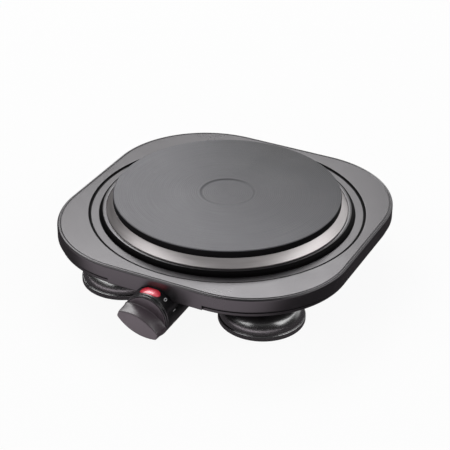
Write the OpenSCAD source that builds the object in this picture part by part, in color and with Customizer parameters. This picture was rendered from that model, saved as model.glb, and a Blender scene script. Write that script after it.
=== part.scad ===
// Single electric hotplate: cast-iron plate on a pressed rounded-square housing,
// four bun feet, and a front control pod with an oval-grip knob.
// Origin: on the standing surface, under the middle of the object's plan.
// +Z is up and the knob faces -Y.

/* [Body] */
// Least width of the deck, between the well and the body's flat sides
deck_w = 10.3; // [8:0.1:16]
// Corner radius of the body in plan
corner_r = 82; // [72:1:90]
// Height of the body's side wall
side_h = 16; // [15.6:0.2:20]
// Thickness of the housing's sheet
shell_t = 1.6; // [1.2:0.1:2]
// Height of the base that shows below the skirt at the corners and both sides
lip_h = 4.5; // [3:0.1:6]
// Gap between the housing's skirt and the base inside it
inner_gap = 0.4; // [0.3:0.1:0.8]
// Width of the shadow groove round the deck
groove_w = 1.1; // [0.6:0.1:1.6]
// Depth of the shadow groove round the deck
groove_d = 0.8; // [0.4:0.1:1]
// Thickness of the base cover's floor
floor_t = 1.6; // [1.2:0.1:2.4]

/* [Hotplate] */
// Radius of the cast plate
plate_r = 92.5; // [88:0.5:94]
// Height of the plate's face above the deck
plate_rise = 15.2; // [14:0.2:18]
// Thickness of the cast plate from face to rim
plate_t = 14; // [12:0.5:15]
// Thickness of the cast roof over the heating channels
roof_t = 6; // [5:0.5:8]
// Height of the plate's bare side above the spill ring
plate_side_h = 5.9; // [4:0.1:7]
// Chamfer round the plate's face
plate_chamfer = 0.8; // [0.4:0.1:1.5]
// Radius of the recess in the middle of the face
recess_r = 22.8; // [15:0.2:30]
// Depth of the recess in the middle of the face
recess_d = 0.9; // [0.4:0.1:1.5]
// Radius of the boss that takes the stud
stud_boss_r = 13; // [10:0.5:16]
// Radius of the stud
stud_r = 3; // [2.5:0.5:4]

/* [Spill ring and collar] */
// Width of the spill ring's cone in plan
cone_w = 5.3; // [4:0.1:7]
// Height of the spill ring's cone
cone_h = 6.3; // [5:0.1:7]
// Thickness of the stainless sheet
steel_t = 0.6; // [0.5:0.1:0.8]
// Width of the bead collar round the ring
bead_w = 5.6; // [5:0.1:7]
// Height of the bead above the well floor
bead_h = 4; // [3.4:0.1:4.4]
// Width of the well round the bead
well_w = 8.4; // [6:0.2:10]
// Depth of the well below the deck
well_d = 1; // [0.5:0.1:2]

/* [Feet] */
// Height of the body's underside above the standing surface
foot_h = 34.8; // [32:0.2:45]
// Distance of each foot's axis in from the body's flat sides
foot_inset = 60.6; // [54:0.1:66]
// Radius of a foot's flange
flange_r = 34.4; // [30:0.2:36]
// Thickness of a foot's flange
flange_t = 4.4; // [3:0.2:6]
// Radius of the bun's rounding
bun_r = 14; // [10:0.5:16]
// Step from the flange in to the bun
bun_step = 0.9; // [0.5:0.1:2]
// Wall of the hollow foot
foot_wall = 2.4; // [1.8:0.1:3]
// Radius of the rubber pad
pad_r = 31; // [20:0.5:32]
// Thickness of the rubber pad
pad_t = 2.2; // [1.8:0.1:3]
// How far the pad stands out of the foot
pad_proud = 0.6; // [0.3:0.1:1]

/* [Control pod] */
// How far the pod's rim stands out of the body's front
pod_reach = 14; // [13:0.5:25]
// Radius of the pod at its rim
pod_r = 18.75; // [18:0.25:22]
// How much narrower the pod's rear end is
pod_taper = 0.6; // [0:0.1:3]
// Length of the pod from rim to rear
pod_len = 50; // [48:0.5:60]
// Wall of the pod
pod_wall = 2; // [1.5:0.1:2.2]
// Depth of the pod's axis below the body's underside
pod_drop = 9.5; // [8:0.5:10]
// Length of the lamp lens across the pod
lens_w = 16.5; // [12:0.5:20]
// Width of the lamp lens along the pod
lens_l = 8.4; // [6:0.2:10]
// Distance of the lens's front edge behind the rim
lens_back = 4.2; // [3.2:0.1:5]

/* [Knob] */
// Width of the pod's rim round the knob's disc
rim_w = 1.85; // [1.6:0.05:2.6]
// Half length of the oval grip
grip_a = 18.2; // [16:0.1:20]
// Half thickness of the oval grip
grip_b = 8.1; // [7:0.1:10]
// Radius of the grip's two wide sides
grip_side_r = 34; // [28:1:45]
// How far the grip stands out of the disc
grip_h = 12; // [10:0.5:16]
// How much the grip narrows on each side towards its face
grip_draft = 0.5; // [0:0.1:1]
// Rounding of the grip's front edge
grip_round = 0.9; // [0.5:0.1:1.5]
// Turn of the grip from level, seen from the front
grip_turn = -20; // [-125:1:50]
// Radius of the control shaft
shaft_r = 3; // [2.5:0.1:3.5]

/* [Cord inlet] */
// Radius of the cord's hole in the gland
cord_r = 3.5; // [3:0.1:4]
// Radius of the gland's outer flange
gland_r = 6.1; // [5.8:0.1:7]
// How far the gland stands out of the rear side
gland_out = 4; // [3:0.5:6]

/* [Clearances] */
// Gap round pieces that drop into an opening
fit_gap = 0.3; // [0.2:0.05:0.5]
// Radial gap of the turning shaft in its bores
run_gap = 0.06; // [0.03:0.01:0.1]
// Gap round a screw or stud in its hole
hole_gap = 0.1; // [0.05:0.05:0.3]

/* [Hidden] */
$fn = 96;
e = 0.01;

// Heights
base_z = foot_h;
floor_z = base_z + floor_t;
deck_z = base_z + side_h;
under_z = deck_z - shell_t;
face_z = deck_z + plate_rise;
seam_z = base_z + lip_h;
apron_z = base_z + 0.8;
shoulder_z = face_z - plate_side_h;
plate_z = face_z - plate_t;
roof_z = face_z - roof_t;

// Plan
cone_r = plate_r + cone_w;
collar_r = cone_r + fit_gap;
bead_r = collar_r + bead_w;
well_r = bead_r + well_w;
half_w = well_r + deck_w;
corner_c = half_w - corner_r;
land_w = 0.3;
edge_w = shell_t + land_w + groove_w;
foot_pitch = half_w - foot_inset;
well_z = deck_z - well_d;
bead_z = well_z + bead_h;
cone_z = shoulder_z - cone_h;
ledge_drop = 1.2;
ledge_z = cone_z - ledge_drop;
ledge_w = 3.8;
ledge_r = collar_r - ledge_w;

// The plate's axis stands clear of the middle, because the knob reaches further than the gland
front_s = half_w + pod_reach;
disc_t = 1.4;
rim_proud = 0.4;
disc_s = front_s + rim_proud;
grip_s = disc_s + grip_h;
plate_y = (grip_s - half_w - gland_out) / 2;
foot_spots = [[-1, -1], [1, -1], [-1, 1], [1, 1]];

// Places the children in the plate's own frame
module on_axis() translate([0, plate_y, 0]) children();

// Frame of the pod: X right, Y up, Z out of the front, from the plate's axis
pod_z = base_z - pod_drop;
module on_pod() on_axis() translate([0, 0, pod_z]) rotate([90, 0, 0]) children();

// ---- Outlines and sweeps ----

module rounded_square(half, r) {
    square([2 * half, 2 * (half - r)], center = true);
    square([2 * (half - r), 2 * half], center = true);
    for (x = [-1, 1], y = [-1, 1])
        translate([x * (half - r), y * (half - r)]) circle(r);
}

// Turns a section, drawn at its distance from the corner's centre, round each corner
module round_corners()
    for (i = [0:3]) rotate(90 * i) translate([corner_c, corner_c, 0])
        rotate_extrude(angle = 90) children();

// Runs the same section along flat sides: 0 is the right, 1 the rear, 2 the left, 3 the front
module along_sides(sides)
    for (i = sides) rotate(90 * i) translate([corner_c, corner_c, 0])
        rotate([90, 0, 0]) linear_extrude(2 * corner_c) children();

module ring(r1, r2, z, h)
    translate([0, 0, z]) difference() {
        cylinder(h = h, r = r2);
        translate([0, 0, -1]) cylinder(h = h + 2, r = r1);
    }

module hex(r, h) cylinder(h = h, r = r, $fn = 6);

// Slot with round ends along X, centred
module slot(l, w, h) {
    cube([l - w, w, h], center = true);
    for (x = [-1, 1]) translate([x * (l - w) / 2, 0, 0]) cylinder(h = h, r = w / 2, center = true);
}

// Pan-head screw: the head's underside at z = 0, the shank going down
module pan_screw(shank_r, shank_l, head_r, head_h) {
    translate([0, 0, -shank_l]) cylinder(h = shank_l + e, r = shank_r);
    difference() {
        intersection() {
            cylinder(h = head_h, r = head_r);
            translate([0, 0, head_h - 2 * head_r]) sphere(2 * head_r);
        }
        translate([0, 0, head_h]) cube([2.6 * shank_r, 0.6, 1.2], center = true);
        translate([0, 0, head_h]) cube([0.6, 2.6 * shank_r, 1.2], center = true);
    }
}

// ---- Housing ----

boss_r = 4.2;
base_screw_r = 1.5;
base_screw_l = 9;
base_head_r = 3.2;
base_head_h = 2.2;
boss_in = 13.7;
boss_s = half_w - boss_in;
boss_x = pod_r + 15.25;
boss_spots = [
    [boss_s, 0], [-boss_s, 0],
    [boss_x, boss_s], [-boss_x, boss_s], [boss_x, -boss_s], [-boss_x, -boss_s]
];

// Section of the shoulder and the side wall, down to the given height
module edge_section(bottom) {
    translate([corner_r - edge_w - 1, under_z]) square([edge_w + 1 - shell_t, shell_t - groove_d]);
    translate([corner_r - edge_w + groove_w, under_z]) square([edge_w - groove_w - shell_t, shell_t]);
    translate([corner_r - shell_t, bottom + shell_t / 2])
        square([shell_t, under_z - bottom - shell_t / 2]);
    translate([corner_r - shell_t / 2, bottom + shell_t / 2]) circle(shell_t / 2);
    intersection() {
        translate([corner_r - shell_t, under_z]) circle(shell_t);
        translate([corner_r - shell_t - e, under_z - e]) square(shell_t + 1);
    }
}

// Section of the well, the hollow bead and the ledge that carries the spill ring
module collar_section() {
    bead_c = bead_r - bead_h;
    difference() {
        union() {
            translate([well_r, under_z - well_d]) square([shell_t, shell_t + well_d]);
            translate([bead_c, well_z - shell_t]) square([well_r - bead_c + 1, shell_t]);
            intersection() {
                translate([bead_c, well_z]) circle(bead_h);
                translate([bead_c - e, well_z - e]) square(bead_h + 1);
            }
            translate([collar_r, well_z - shell_t]) square([bead_c - collar_r + e, bead_h + shell_t]);
            translate([ledge_r, ledge_z - shell_t]) square([ledge_w + e, shell_t]);
        }
        translate([bead_c, well_z]) circle(bead_h - shell_t);
        translate([collar_r + shell_t, well_z - shell_t - 1])
            square([bead_c - collar_r - shell_t + e, bead_h + 1]);
        translate([bead_c, well_z - shell_t - 1]) square([bead_h - shell_t, shell_t + 1]);
    }
}

// Envelope of the pod, grown by a gap
module pod_envelope(gap)
    translate([0, 0, front_s - pod_len - gap])
        cylinder(h = pod_len + gap + 1, r1 = pod_r - pod_taper + gap, r2 = pod_r + gap);

module housing() color("#4a474b") on_axis() difference() {
    union() {
        difference() {
            translate([0, 0, under_z]) linear_extrude(shell_t)
                rounded_square(half_w - edge_w, corner_r - edge_w);
            translate([0, 0, under_z - 1]) cylinder(h = shell_t + 2, r = well_r + 1);
        }
        rotate_extrude() collar_section();
        round_corners() edge_section(seam_z);
        along_sides([0, 2]) edge_section(seam_z);
        along_sides([1, 3]) edge_section(apron_z);
        for (p = boss_spots) translate([p.x, p.y, floor_z])
            cylinder(h = well_z - e - floor_z, r = boss_r);
    }
    for (p = boss_spots) translate([p.x, p.y, floor_z - 1])
        cylinder(h = 9, r = base_screw_r + hole_gap);
    translate([0, 0, pod_z]) rotate([90, 0, 0]) pod_envelope(fit_gap);
    translate([0, half_w, gland_z]) rotate([90, 0, 0])
        cylinder(h = 4 * shell_t, r = gland_neck_r + hole_gap, center = true);
}

// ---- Base cover ----

inset = shell_t + inner_gap;
foot_screw_r = 1.7;
upstand_t = 1.4;
upstand_h = lip_h + 3.5;
hem_r = floor_t / 2;
ear_r = 5;
ear_x = pod_r + 3.25;
ear_s = front_s - 33;
vent_w = 4;
side_vent_s = half_w - 36.7;
rear_vent_s = 34;

module vents(n, w, l, pitch) for (i = [0:n - 1])
    translate([0, (i - (n - 1) / 2) * pitch, 0]) slot(l, w, 20);

// Section of the pan's rounded hem
module hem_section()
    translate([corner_r - inset - hem_r, base_z + hem_r]) circle(hem_r);

// Section of the hem with the upstand behind the housing's skirt
module upstand_section() {
    hem_section();
    translate([corner_r - inset - upstand_t, base_z + hem_r])
        square([upstand_t, upstand_h - hem_r]);
}

module base_cover() color("#2b2a2c") on_axis() difference() {
    union() {
        translate([0, 0, base_z]) linear_extrude(floor_t)
            rounded_square(half_w - inset - hem_r, corner_r - inset - hem_r);
        round_corners() upstand_section();
        along_sides([0, 2]) upstand_section();
        along_sides([1, 3]) hem_section();
    }
    for (p = foot_spots) translate([p.x * foot_pitch, p.y * foot_pitch, base_z - 1])
        cylinder(h = floor_t + 2, r = foot_screw_r + 0.5);
    for (p = boss_spots) translate([p.x, p.y, base_z - 1])
        cylinder(h = floor_t + 2, r = base_screw_r + 0.4);
    translate([0, 0, pod_z]) rotate([90, 0, 0]) pod_envelope(fit_gap);
    for (x = [-1, 1]) translate([x * ear_x, -ear_s, base_z - 1])
        cylinder(h = floor_t + 2, r = base_screw_r + hole_gap);
    for (a = [0, 180]) rotate(a) translate([side_vent_s, 0, base_z]) rotate(90)
        vents(5, vent_w, 34, 7);
    translate([0, rear_vent_s, base_z]) vents(5, vent_w, 46, 10);
}

// ---- Hotplate and its heating element ----

rebate = 0.8;
web_t = 5;
first_r = stud_boss_r + 5;
channel_w = (plate_r - 8 - first_r - 2 * web_t) / 3;
function channel(i) = first_r + i * (channel_w + web_t);
channels = [for (i = [0:2]) [channel(i), channel(i) + channel_w]];
fill_t = 5.5;
coil_r = 1.5;
coil_pitch = 8;
function mid(c) = (c[0] + c[1]) / 2;
coil_rings = [
    mid(channels[0]), mid(channels[1]) - coil_pitch / 2, mid(channels[1]) + coil_pitch / 2,
    mid(channels[2]) - coil_pitch / 2, mid(channels[2]) + coil_pitch / 2
];

module hotplate() color("#77777c") on_axis() difference() {
    rotate_extrude() polygon([
        [0, face_z - recess_d], [recess_r - recess_d, face_z - recess_d],
        [recess_r, face_z], [plate_r - plate_chamfer, face_z],
        [plate_r, face_z - plate_chamfer], [plate_r, shoulder_z],
        [plate_r - rebate, shoulder_z], [plate_r - rebate, plate_z], [0, plate_z]
    ]);
    for (c = channels) ring(c[0], c[1], plate_z - 1, roof_z - plate_z + 1);
    translate([0, 0, plate_z - 1]) cylinder(h = 8, r = stud_r + hole_gap);
}

module ceramic_fill() color("#d8d0c0") on_axis() difference() {
    for (c = channels) ring(c[0] + hole_gap, c[1] - hole_gap, roof_z - fill_t, fill_t);
    for (r = coil_rings) translate([0, 0, roof_z - fill_t])
        rotate_extrude() translate([r, 0]) circle(coil_r + hole_gap, $fn = 48);
}

module heating_coils() color("#8a8278") on_axis()
    for (r = coil_rings) translate([0, 0, roof_z - fill_t])
        rotate_extrude() translate([r, 0]) circle(coil_r, $fn = 48);

cover_t = 0.8;
cover_z = plate_z - cover_t;

module element_cover() color("#b9bcc0") on_axis() difference() {
    translate([0, 0, cover_z]) cylinder(h = cover_t, r = plate_r - rebate - 1);
    translate([0, 0, cover_z - 1]) cylinder(h = cover_t + 2, r = stud_r + hole_gap);
}

module spill_ring() color("#cfc8c8") on_axis() {
    r0 = plate_r - rebate + hole_gap;
    r1 = r0 + steel_t;
    slope_t = steel_t * sqrt(1 + pow(cone_h / (cone_r - r1), 2));
    rotate_extrude() polygon([
        [r0, shoulder_z - 4], [r0, shoulder_z], [r1, shoulder_z], [cone_r, cone_z],
        [cone_r, ledge_z], [cone_r - steel_t, ledge_z], [cone_r - steel_t, cone_z - slope_t + 0.6],
        [r1, shoulder_z - slope_t], [r1, shoulder_z - 4]
    ]);
}

bridge_t = 2;
bridge_w = 24;
bridge_z = well_z - shell_t - bridge_t;
bridge_end = (bead_r + well_r) / 2 + 3;
washer_t = 1.2;
nut_t = 5;
rib_t = 1.2;
rib_h = 4;
rib_end = bridge_end - 27;

module clamp_bridge() color("#a9abad") on_axis() rotate(45) difference() {
    union() {
        translate([-bridge_end, -bridge_w / 2, bridge_z]) cube([2 * bridge_end, bridge_w, bridge_t]);
        for (y = [-bridge_w / 2, bridge_w / 2 - rib_t])
            translate([-rib_end, y, bridge_z - rib_h]) cube([2 * rib_end, rib_t, rib_h + e]);
    }
    translate([0, 0, bridge_z - 1]) cylinder(h = 10, r = stud_r + hole_gap);
}

module plate_stud() color("#b8babd") on_axis()
    translate([0, 0, bridge_z - washer_t - nut_t - 1.5])
        cylinder(h = plate_z + 6 - bridge_z + washer_t + nut_t + 1.5, r = stud_r);

module bridge_nut() color("#c4c6c9") on_axis() difference() {
    union() {
        translate([0, 0, bridge_z - washer_t]) cylinder(h = washer_t, r = 7);
        translate([0, 0, bridge_z - washer_t - nut_t]) hex(5.77, nut_t + e);
    }
    translate([0, 0, bridge_z - 20]) cylinder(h = 40, r = stud_r + 0.05);
}

terminal_s = 46;
terminal_h = 8;
pole_pitch = 8;

module plate_terminal() color("#e6e0d4") on_axis() rotate(135)
    translate([terminal_s, 0, cover_z]) difference() {
        translate([-8, -14, -terminal_h]) cube([16, 28, terminal_h]);
        for (i = [-1:1]) translate([0, i * pole_pitch, -terminal_h - 1]) {
            cylinder(h = 6, r = 2.2);
            translate([0, -2.4, 0]) cube([10, 4.8, 5]);
        }
    }

cutout_h = 8;
cutout_tab_h = 3;

module thermal_cutout() color("#c9ccd0") on_axis() rotate(-45) translate([terminal_s, 0, cover_z]) {
    translate([0, 0, -1]) cylinder(h = 1, r = 9);
    translate([0, 0, -cutout_h]) cylinder(h = cutout_h - 1 + e, r = 7);
    for (x = [-1, 1]) translate([x * 4 - 0.4, -2, -cutout_h - cutout_tab_h])
        cube([0.8, 4, cutout_tab_h + e]);
}

tag_s = 58;

module earth_tag() color("#d0b060") on_axis() rotate(45) translate([tag_s, 0, bridge_z - 0.8])
    difference() {
        union() {
            cylinder(h = 0.8, r = 5);
            translate([0, -3, 0]) cube([15, 6, 0.8]);
        }
        translate([0, 0, -1]) cylinder(h = 3, r = 2);
    }

clamp_s = half_w - 34.7;
block_back = 16;
block_s = clamp_s - block_back;
block_w = 14;
shield_r = block_s - block_w / 2 - 1.7;
shield_post_in = 11;
shield_post_s = shield_r - shield_post_in;
shield_hole_r = 10;
shield_lift = 2.4;
shield_t = 0.8;

module heat_shield() color("#c6c9cc") on_axis() difference() {
    union() {
        translate([0, 0, floor_z + shield_lift]) cylinder(h = shield_t, r = shield_r);
        ring(shield_r - shield_t, shield_r, floor_z + shield_lift, 3);
        for (a = [45:90:315]) rotate(a) translate([shield_post_s, 0, floor_z])
            cylinder(h = shield_lift + e, r = 4);
    }
    translate([0, 0, floor_z]) cylinder(h = 4 * shield_lift, r = shield_hole_r);
}

// ---- Feet ----

foot_boss_r = 5;
foot_rib_t = 1.6;
foot_screw_l = 14;
foot_head_r = 3.8;
foot_head_h = 2.6;
bun_c = flange_r - bun_step - bun_r;
bun_z = pad_proud + flange_t;
flange_round = 1;

// Half section of the foot's outside: flange, bun and neck
module foot_outline() {
    translate([0, pad_proud]) square([flange_r, flange_t - flange_round]);
    translate([0, pad_proud]) square([flange_r - flange_round, flange_t]);
    translate([flange_r - flange_round, bun_z - flange_round]) circle(flange_round);
    intersection() {
        translate([bun_c, bun_z]) circle(bun_r);
        translate([0, bun_z - flange_round]) square([flange_r, bun_r + flange_round]);
    }
    translate([0, pad_proud]) square([bun_c, base_z - pad_proud]);
}

// Half section of the space inside the foot, left of which stands the screw boss
module foot_hollow() {
    in_z = pad_t + foot_wall;
    intersection() {
        translate([bun_c, bun_z]) circle(bun_r - foot_wall);
        translate([foot_boss_r, in_z]) square([flange_r, bun_r]);
    }
    translate([foot_boss_r, in_z]) square([bun_c - foot_wall - foot_boss_r, base_z - in_z + 1]);
}

module foot(p) color("#171618") on_axis() translate([p.x * foot_pitch, p.y * foot_pitch, 0])
    difference() {
        union() {
            rotate_extrude() difference() {
                foot_outline();
                foot_hollow();
            }
            for (a = [0, 90]) rotate(a) translate([-bun_c + e, -foot_rib_t / 2, pad_t + 1])
                cube([2 * (bun_c - e), foot_rib_t, bun_z + bun_r - foot_wall - pad_t]);
        }
        translate([0, 0, pad_proud - 1]) cylinder(h = pad_t - pad_proud + 1, r = pad_r + hole_gap);
        translate([0, 0, base_z - foot_screw_l - 2])
            cylinder(h = foot_screw_l + 3, r = foot_screw_r + hole_gap);
    }

module pad(p) color("#222222") on_axis() translate([p.x * foot_pitch, p.y * foot_pitch, 0])
    cylinder(h = pad_t, r = pad_r);

module foot_screws() color("#b5b7ba") on_axis() for (p = foot_spots)
    translate([p.x * foot_pitch, p.y * foot_pitch, floor_z])
        pan_screw(foot_screw_r, foot_screw_l, foot_head_r, foot_head_h);

module base_screws() color("#b5b7ba") on_axis() for (p = boss_spots)
    translate([p.x, p.y, base_z]) rotate([180, 0, 0])
        pan_screw(base_screw_r, base_screw_l, base_head_r, base_head_h);

// ---- Control pod ----

disc_r = pod_r - rim_w;
wall_s = front_s - 1.7;
front_wall = 1.8;
ear_t = 2.6;

// Radius of the pod's outside at a distance from the plate's axis
function pod_r_at(s) = pod_r - pod_taper * (front_s - s) / pod_len;

// Reach of a bore that passes right through the pod along its axis
through = grip_s + pod_len;

module lens_window(gap) {
    l = lens_l + 2 * gap;
    w = lens_w + 2 * gap;
    s = front_s - lens_back - lens_l / 2;
    translate([0, pod_r / 2, s]) rotate([-90, 0, 0]) linear_extrude(pod_r) {
        square([w - l, l], center = true);
        for (x = [-1, 1]) translate([x * (w - l) / 2, 0]) circle(l / 2);
    }
}

module pod_shell() rotate_extrude() {
    rear = front_s - pod_len;
    difference() {
        polygon([
            [0, rear], [pod_r_at(rear) - 4, rear], [pod_r_at(rear + 4), rear + 4],
            [pod_r_at(front_s - 2.4), front_s - 2.4], [pod_r_at(front_s - 2.4) - 0.5, front_s - 2.1],
            [pod_r - 0.5, front_s - 0.3], [pod_r - 0.9, front_s], [0, front_s]
        ]);
        polygon([
            [0, rear + pod_wall], [pod_r_at(rear) - 4 - pod_wall / 2, rear + pod_wall],
            [pod_r_at(rear + 4) - pod_wall, rear + 4 + pod_wall / 2],
            [pod_r_at(wall_s) - pod_wall, wall_s - front_wall], [0, wall_s - front_wall]
        ]);
        translate([0, wall_s]) square([disc_r + fit_gap, 3]);
    }
}

box_x = 2 * (pod_r - pod_wall - 4.75);
box_y = 2 * (pod_r - pod_wall - 8.25);
box_l = 20;
box_wall = 1.5;
therm_screw_r = 1.5;
therm_screw_x = box_x / 2 - 3;

module control_pod() color("#1c1a1c") on_pod() difference() {
    union() {
        pod_shell();
        for (x = [-1, 1]) translate([x * ear_x, pod_drop - ear_t, ear_s]) rotate([-90, 0, 0])
            cylinder(h = ear_t, r = ear_r);
        for (x = [-1, 1]) translate([x * (ear_x - 4), pod_drop - ear_t / 2, ear_s])
            cube([8, ear_t, 2 * ear_r], center = true);
    }
    translate([0, 0, front_s - pod_len + 6]) cylinder(
        h = pod_len - 12, r1 = pod_r_at(front_s - pod_len) - pod_wall,
        r2 = pod_r - pod_taper - pod_wall
    );
    for (x = [-1, 1]) translate([x * ear_x, pod_drop - 2 * ear_t, ear_s]) rotate([-90, 0, 0])
        cylinder(h = 4 * ear_t, r = base_screw_r + hole_gap);
    lens_window(0.15);
    cylinder(h = through, r = shaft_r + run_gap);
    for (x = [-1, 1]) translate([x * therm_screw_x, 0, wall_s - front_wall - 1]) {
        cylinder(h = 10, r = therm_screw_r + hole_gap);
        translate([0, 0, 1 + front_wall - 1.2]) cylinder(h = 1.3, r1 = therm_screw_r + hole_gap, r2 = 2.9);
    }
}

module pod_screws() color("#b5b7ba") on_axis() for (x = [-1, 1])
    translate([x * ear_x, -ear_s, base_z - ear_t]) rotate([180, 0, 0])
        pan_screw(base_screw_r, ear_t + floor_t + 2, base_head_r, base_head_h);

lens_proud = 0.5;
lens_rear = front_s - lens_back - lens_l - 1;

module lamp_lens() color("#d8203c") on_pod() intersection() {
    lens_window(0);
    rotate_extrude() polygon([
        [pod_r_at(lens_rear) - pod_wall, lens_rear], [pod_r_at(lens_rear) + lens_proud, lens_rear],
        [pod_r + lens_proud, front_s], [pod_r - pod_wall, front_s]
    ]);
}

neon_r = 2.4;
neon_l = 13;
neon_y = box_y / 2 + neon_r + 1;

module neon_lamp() color("#e8b090") on_pod() translate([0, neon_y, front_s - lens_back - lens_l / 2])
    rotate([0, 90, 0]) union() {
        cylinder(h = neon_l, r = neon_r, center = true);
        translate([0, 0, neon_l / 2]) sphere(neon_r);
    }

// ---- Thermostat ----

box_s = wall_s - front_wall - box_l;

module thermostat_body() color("#d5cdbd") on_pod() difference() {
    translate([-box_x / 2, -box_y / 2, box_s]) cube([box_x, box_y, box_l]);
    translate([-box_x / 2 + box_wall, -box_y / 2 + box_wall, box_s - 1])
        cube([box_x - 2 * box_wall, box_y - 2 * box_wall, box_l - 3]);
    cylinder(h = through, r = shaft_r + run_gap);
    for (x = [-1, 1]) translate([x * therm_screw_x, 0, box_s + box_l - 6])
        cylinder(h = 10, r = therm_screw_r + hole_gap);
}

module thermostat_screws() color("#b5b7ba") on_pod() for (x = [-1, 1])
    translate([x * therm_screw_x, 0, wall_s - front_wall - 3.6]) {
        cylinder(h = 3.6 + front_wall - 0.2, r = therm_screw_r);
        translate([0, 0, 3.6 + front_wall - 1.2]) cylinder(h = 1.1, r1 = therm_screw_r, r2 = 2.7);
    }

cam_s = box_s + 6;
cam_t = 5;
flat_depth = 1;
shaft_end = disc_s + 7;

// Shaft outline with its flat
module d_outline(r, gap) difference() {
    circle(r + gap);
    translate([-r - 1, r - flat_depth + gap]) square(2 * r + 2);
}

module turned() rotate(grip_turn) children();

module thermostat_shaft() color("#c9cbce") on_pod() turned() {
    translate([0, 0, cam_s - 2]) cylinder(h = disc_s - disc_t - cam_s + 2, r = shaft_r);
    translate([0, 0, disc_s - disc_t - e]) linear_extrude(shaft_end - disc_s + disc_t)
        d_outline(shaft_r, 0);
}

module thermostat_cam() color("#b08d4f") on_pod() turned() translate([0, 0, cam_s]) difference() {
    union() {
        cylinder(h = cam_t, r = 5.2);
        translate([0.9, 0, 0]) cylinder(h = cam_t, r = 5.2);
    }
    translate([0, 0, -1]) cylinder(h = cam_t + 2, r = shaft_r + 0.02);
}

// ---- Knob ----

// Disc whose side narrows with the draft and whose front edge is rounded
module drafted_disc(r, h) rotate_extrude() {
    front_r = r - grip_draft;
    polygon([
        [0, 0], [r, 0], [front_r, h - grip_round],
        [front_r - grip_round, h - grip_round], [0, h - grip_round]
    ]);
    square([front_r - grip_round, h]);
    translate([front_r - grip_round, h - grip_round]) circle(grip_round);
}

// Oval block: two wide arcs form its sides, and the disc's own round cuts its ends
module oval_block(h) intersection() {
    translate([0, grip_side_r - grip_b, 0]) drafted_disc(grip_side_r, h);
    translate([0, grip_b - grip_side_r, 0]) drafted_disc(grip_side_r, h);
    drafted_disc(grip_a, h);
}

grip_wall = 1.8;

module knob() color("#5a5459") on_pod() turned() difference() {
    union() {
        difference() {
            union() {
                translate([0, 0, disc_s - disc_t]) cylinder(h = disc_t + e, r = disc_r);
                translate([0, 0, disc_s]) oval_block(grip_h);
            }
            translate([0, 0, disc_s - disc_t - 1]) intersection() {
                translate([-13, -grip_b, 0]) cube([26, 2 * grip_b, grip_h - grip_wall + disc_t + 1]);
                cylinder(h = 40, r = 13);
                translate([0, grip_side_r - grip_b + 2.2, 0]) cylinder(h = 40, r = grip_side_r);
                translate([0, grip_b - grip_side_r - 2.2, 0]) cylinder(h = 40, r = grip_side_r);
            }
        }
        translate([0, 0, disc_s - disc_t]) cylinder(h = grip_h - 1, r = shaft_r + 2.2);
        translate([-13, -0.6, disc_s]) cube([26, 1.2, grip_h - 1]);
    }
    translate([0, 0, disc_s - disc_t - 1]) linear_extrude(shaft_end - disc_s + disc_t + 1.4)
        d_outline(shaft_r, hole_gap / 2);
    translate([-2, shaft_r - flat_depth, disc_s - disc_t - 1]) cube([4, 0.7, 9.4]);
}

module knob_spring() color("#c0c2c5") on_pod() turned()
    translate([-1.8, shaft_r - flat_depth + 0.1, disc_s - disc_t]) cube([3.6, 0.4, 8]);

// ---- Cord inlet ----

gland_neck_r = cord_r + 1.4;
gland_lip = 0.5;
gland_in = 4;
gland_round = 1;
gland_z = floor_z + gland_neck_r + gland_lip + 0.1;

module cord_gland() color("#19181a") on_axis() translate([0, half_w, gland_z]) rotate([-90, 0, 0])
    rotate_extrude() difference() {
        union() {
            translate([0, -shell_t - gland_in]) square([gland_neck_r, shell_t + gland_in + 1]);
            square([gland_r, gland_out - gland_round]);
            translate([0, gland_out - gland_round]) square([gland_r - gland_round, gland_round]);
            translate([gland_r - gland_round, gland_out - gland_round]) circle(gland_round);
            translate([0, -shell_t - gland_in + 0.6])
                square([gland_neck_r + gland_lip, gland_in - 0.6]);
        }
        translate([-e, -shell_t - gland_in - 1])
            square([cord_r + e, shell_t + gland_in + gland_out + 2]);
    }

clamp_h = 8;
clamp_w = 26;
clamp_l = 8;
clamp_x = 9;
clamp_screw_r = 1.5;

module cord_clamp() color("#d9d2c4") on_axis() translate([0, clamp_s, floor_z]) difference() {
    cord_z = gland_z - floor_z;
    union() {
        translate([-clamp_w / 2, -clamp_l / 2, 0]) cube([clamp_w, clamp_l, clamp_h]);
        translate([0, -clamp_l / 2, cord_z]) rotate([-90, 0, 0])
            cylinder(h = clamp_l, r = cord_r + 1.5);
    }
    translate([0, 0, cord_z]) rotate([90, 0, 0])
        cylinder(h = clamp_l + 2, r = cord_r + hole_gap, center = true);
    for (x = [-1, 1]) translate([x * clamp_x, 0, -1])
        cylinder(h = clamp_h + 2, r = clamp_screw_r + hole_gap);
}

module clamp_screws() color("#b5b7ba") on_axis() for (x = [-1, 1])
    translate([x * clamp_x, clamp_s, floor_z + clamp_h])
        pan_screw(clamp_screw_r, clamp_h - 1, 2.8, 1.8);

block_h = 9;
block_l = 34;
block_pitch = 11;
block_wire_r = 1.6;
block_screw_r = 1.5;
block_screw_y = 4;

module terminal_block() color("#efe9dc") on_axis() translate([0, block_s, floor_z]) difference() {
    translate([-block_l / 2, -block_w / 2, 0]) cube([block_l, block_w, block_h]);
    for (i = [-1:1]) translate([i * block_pitch, 0, 0]) {
        translate([0, 0, block_h / 2]) rotate([90, 0, 0])
            cylinder(h = block_w + 2, r = block_wire_r, center = true);
        for (y = [-1, 1]) translate([0, y * block_screw_y, block_h / 2])
            cylinder(h = block_h, r = block_screw_r);
    }
}

// ---- The pieces ----

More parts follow.
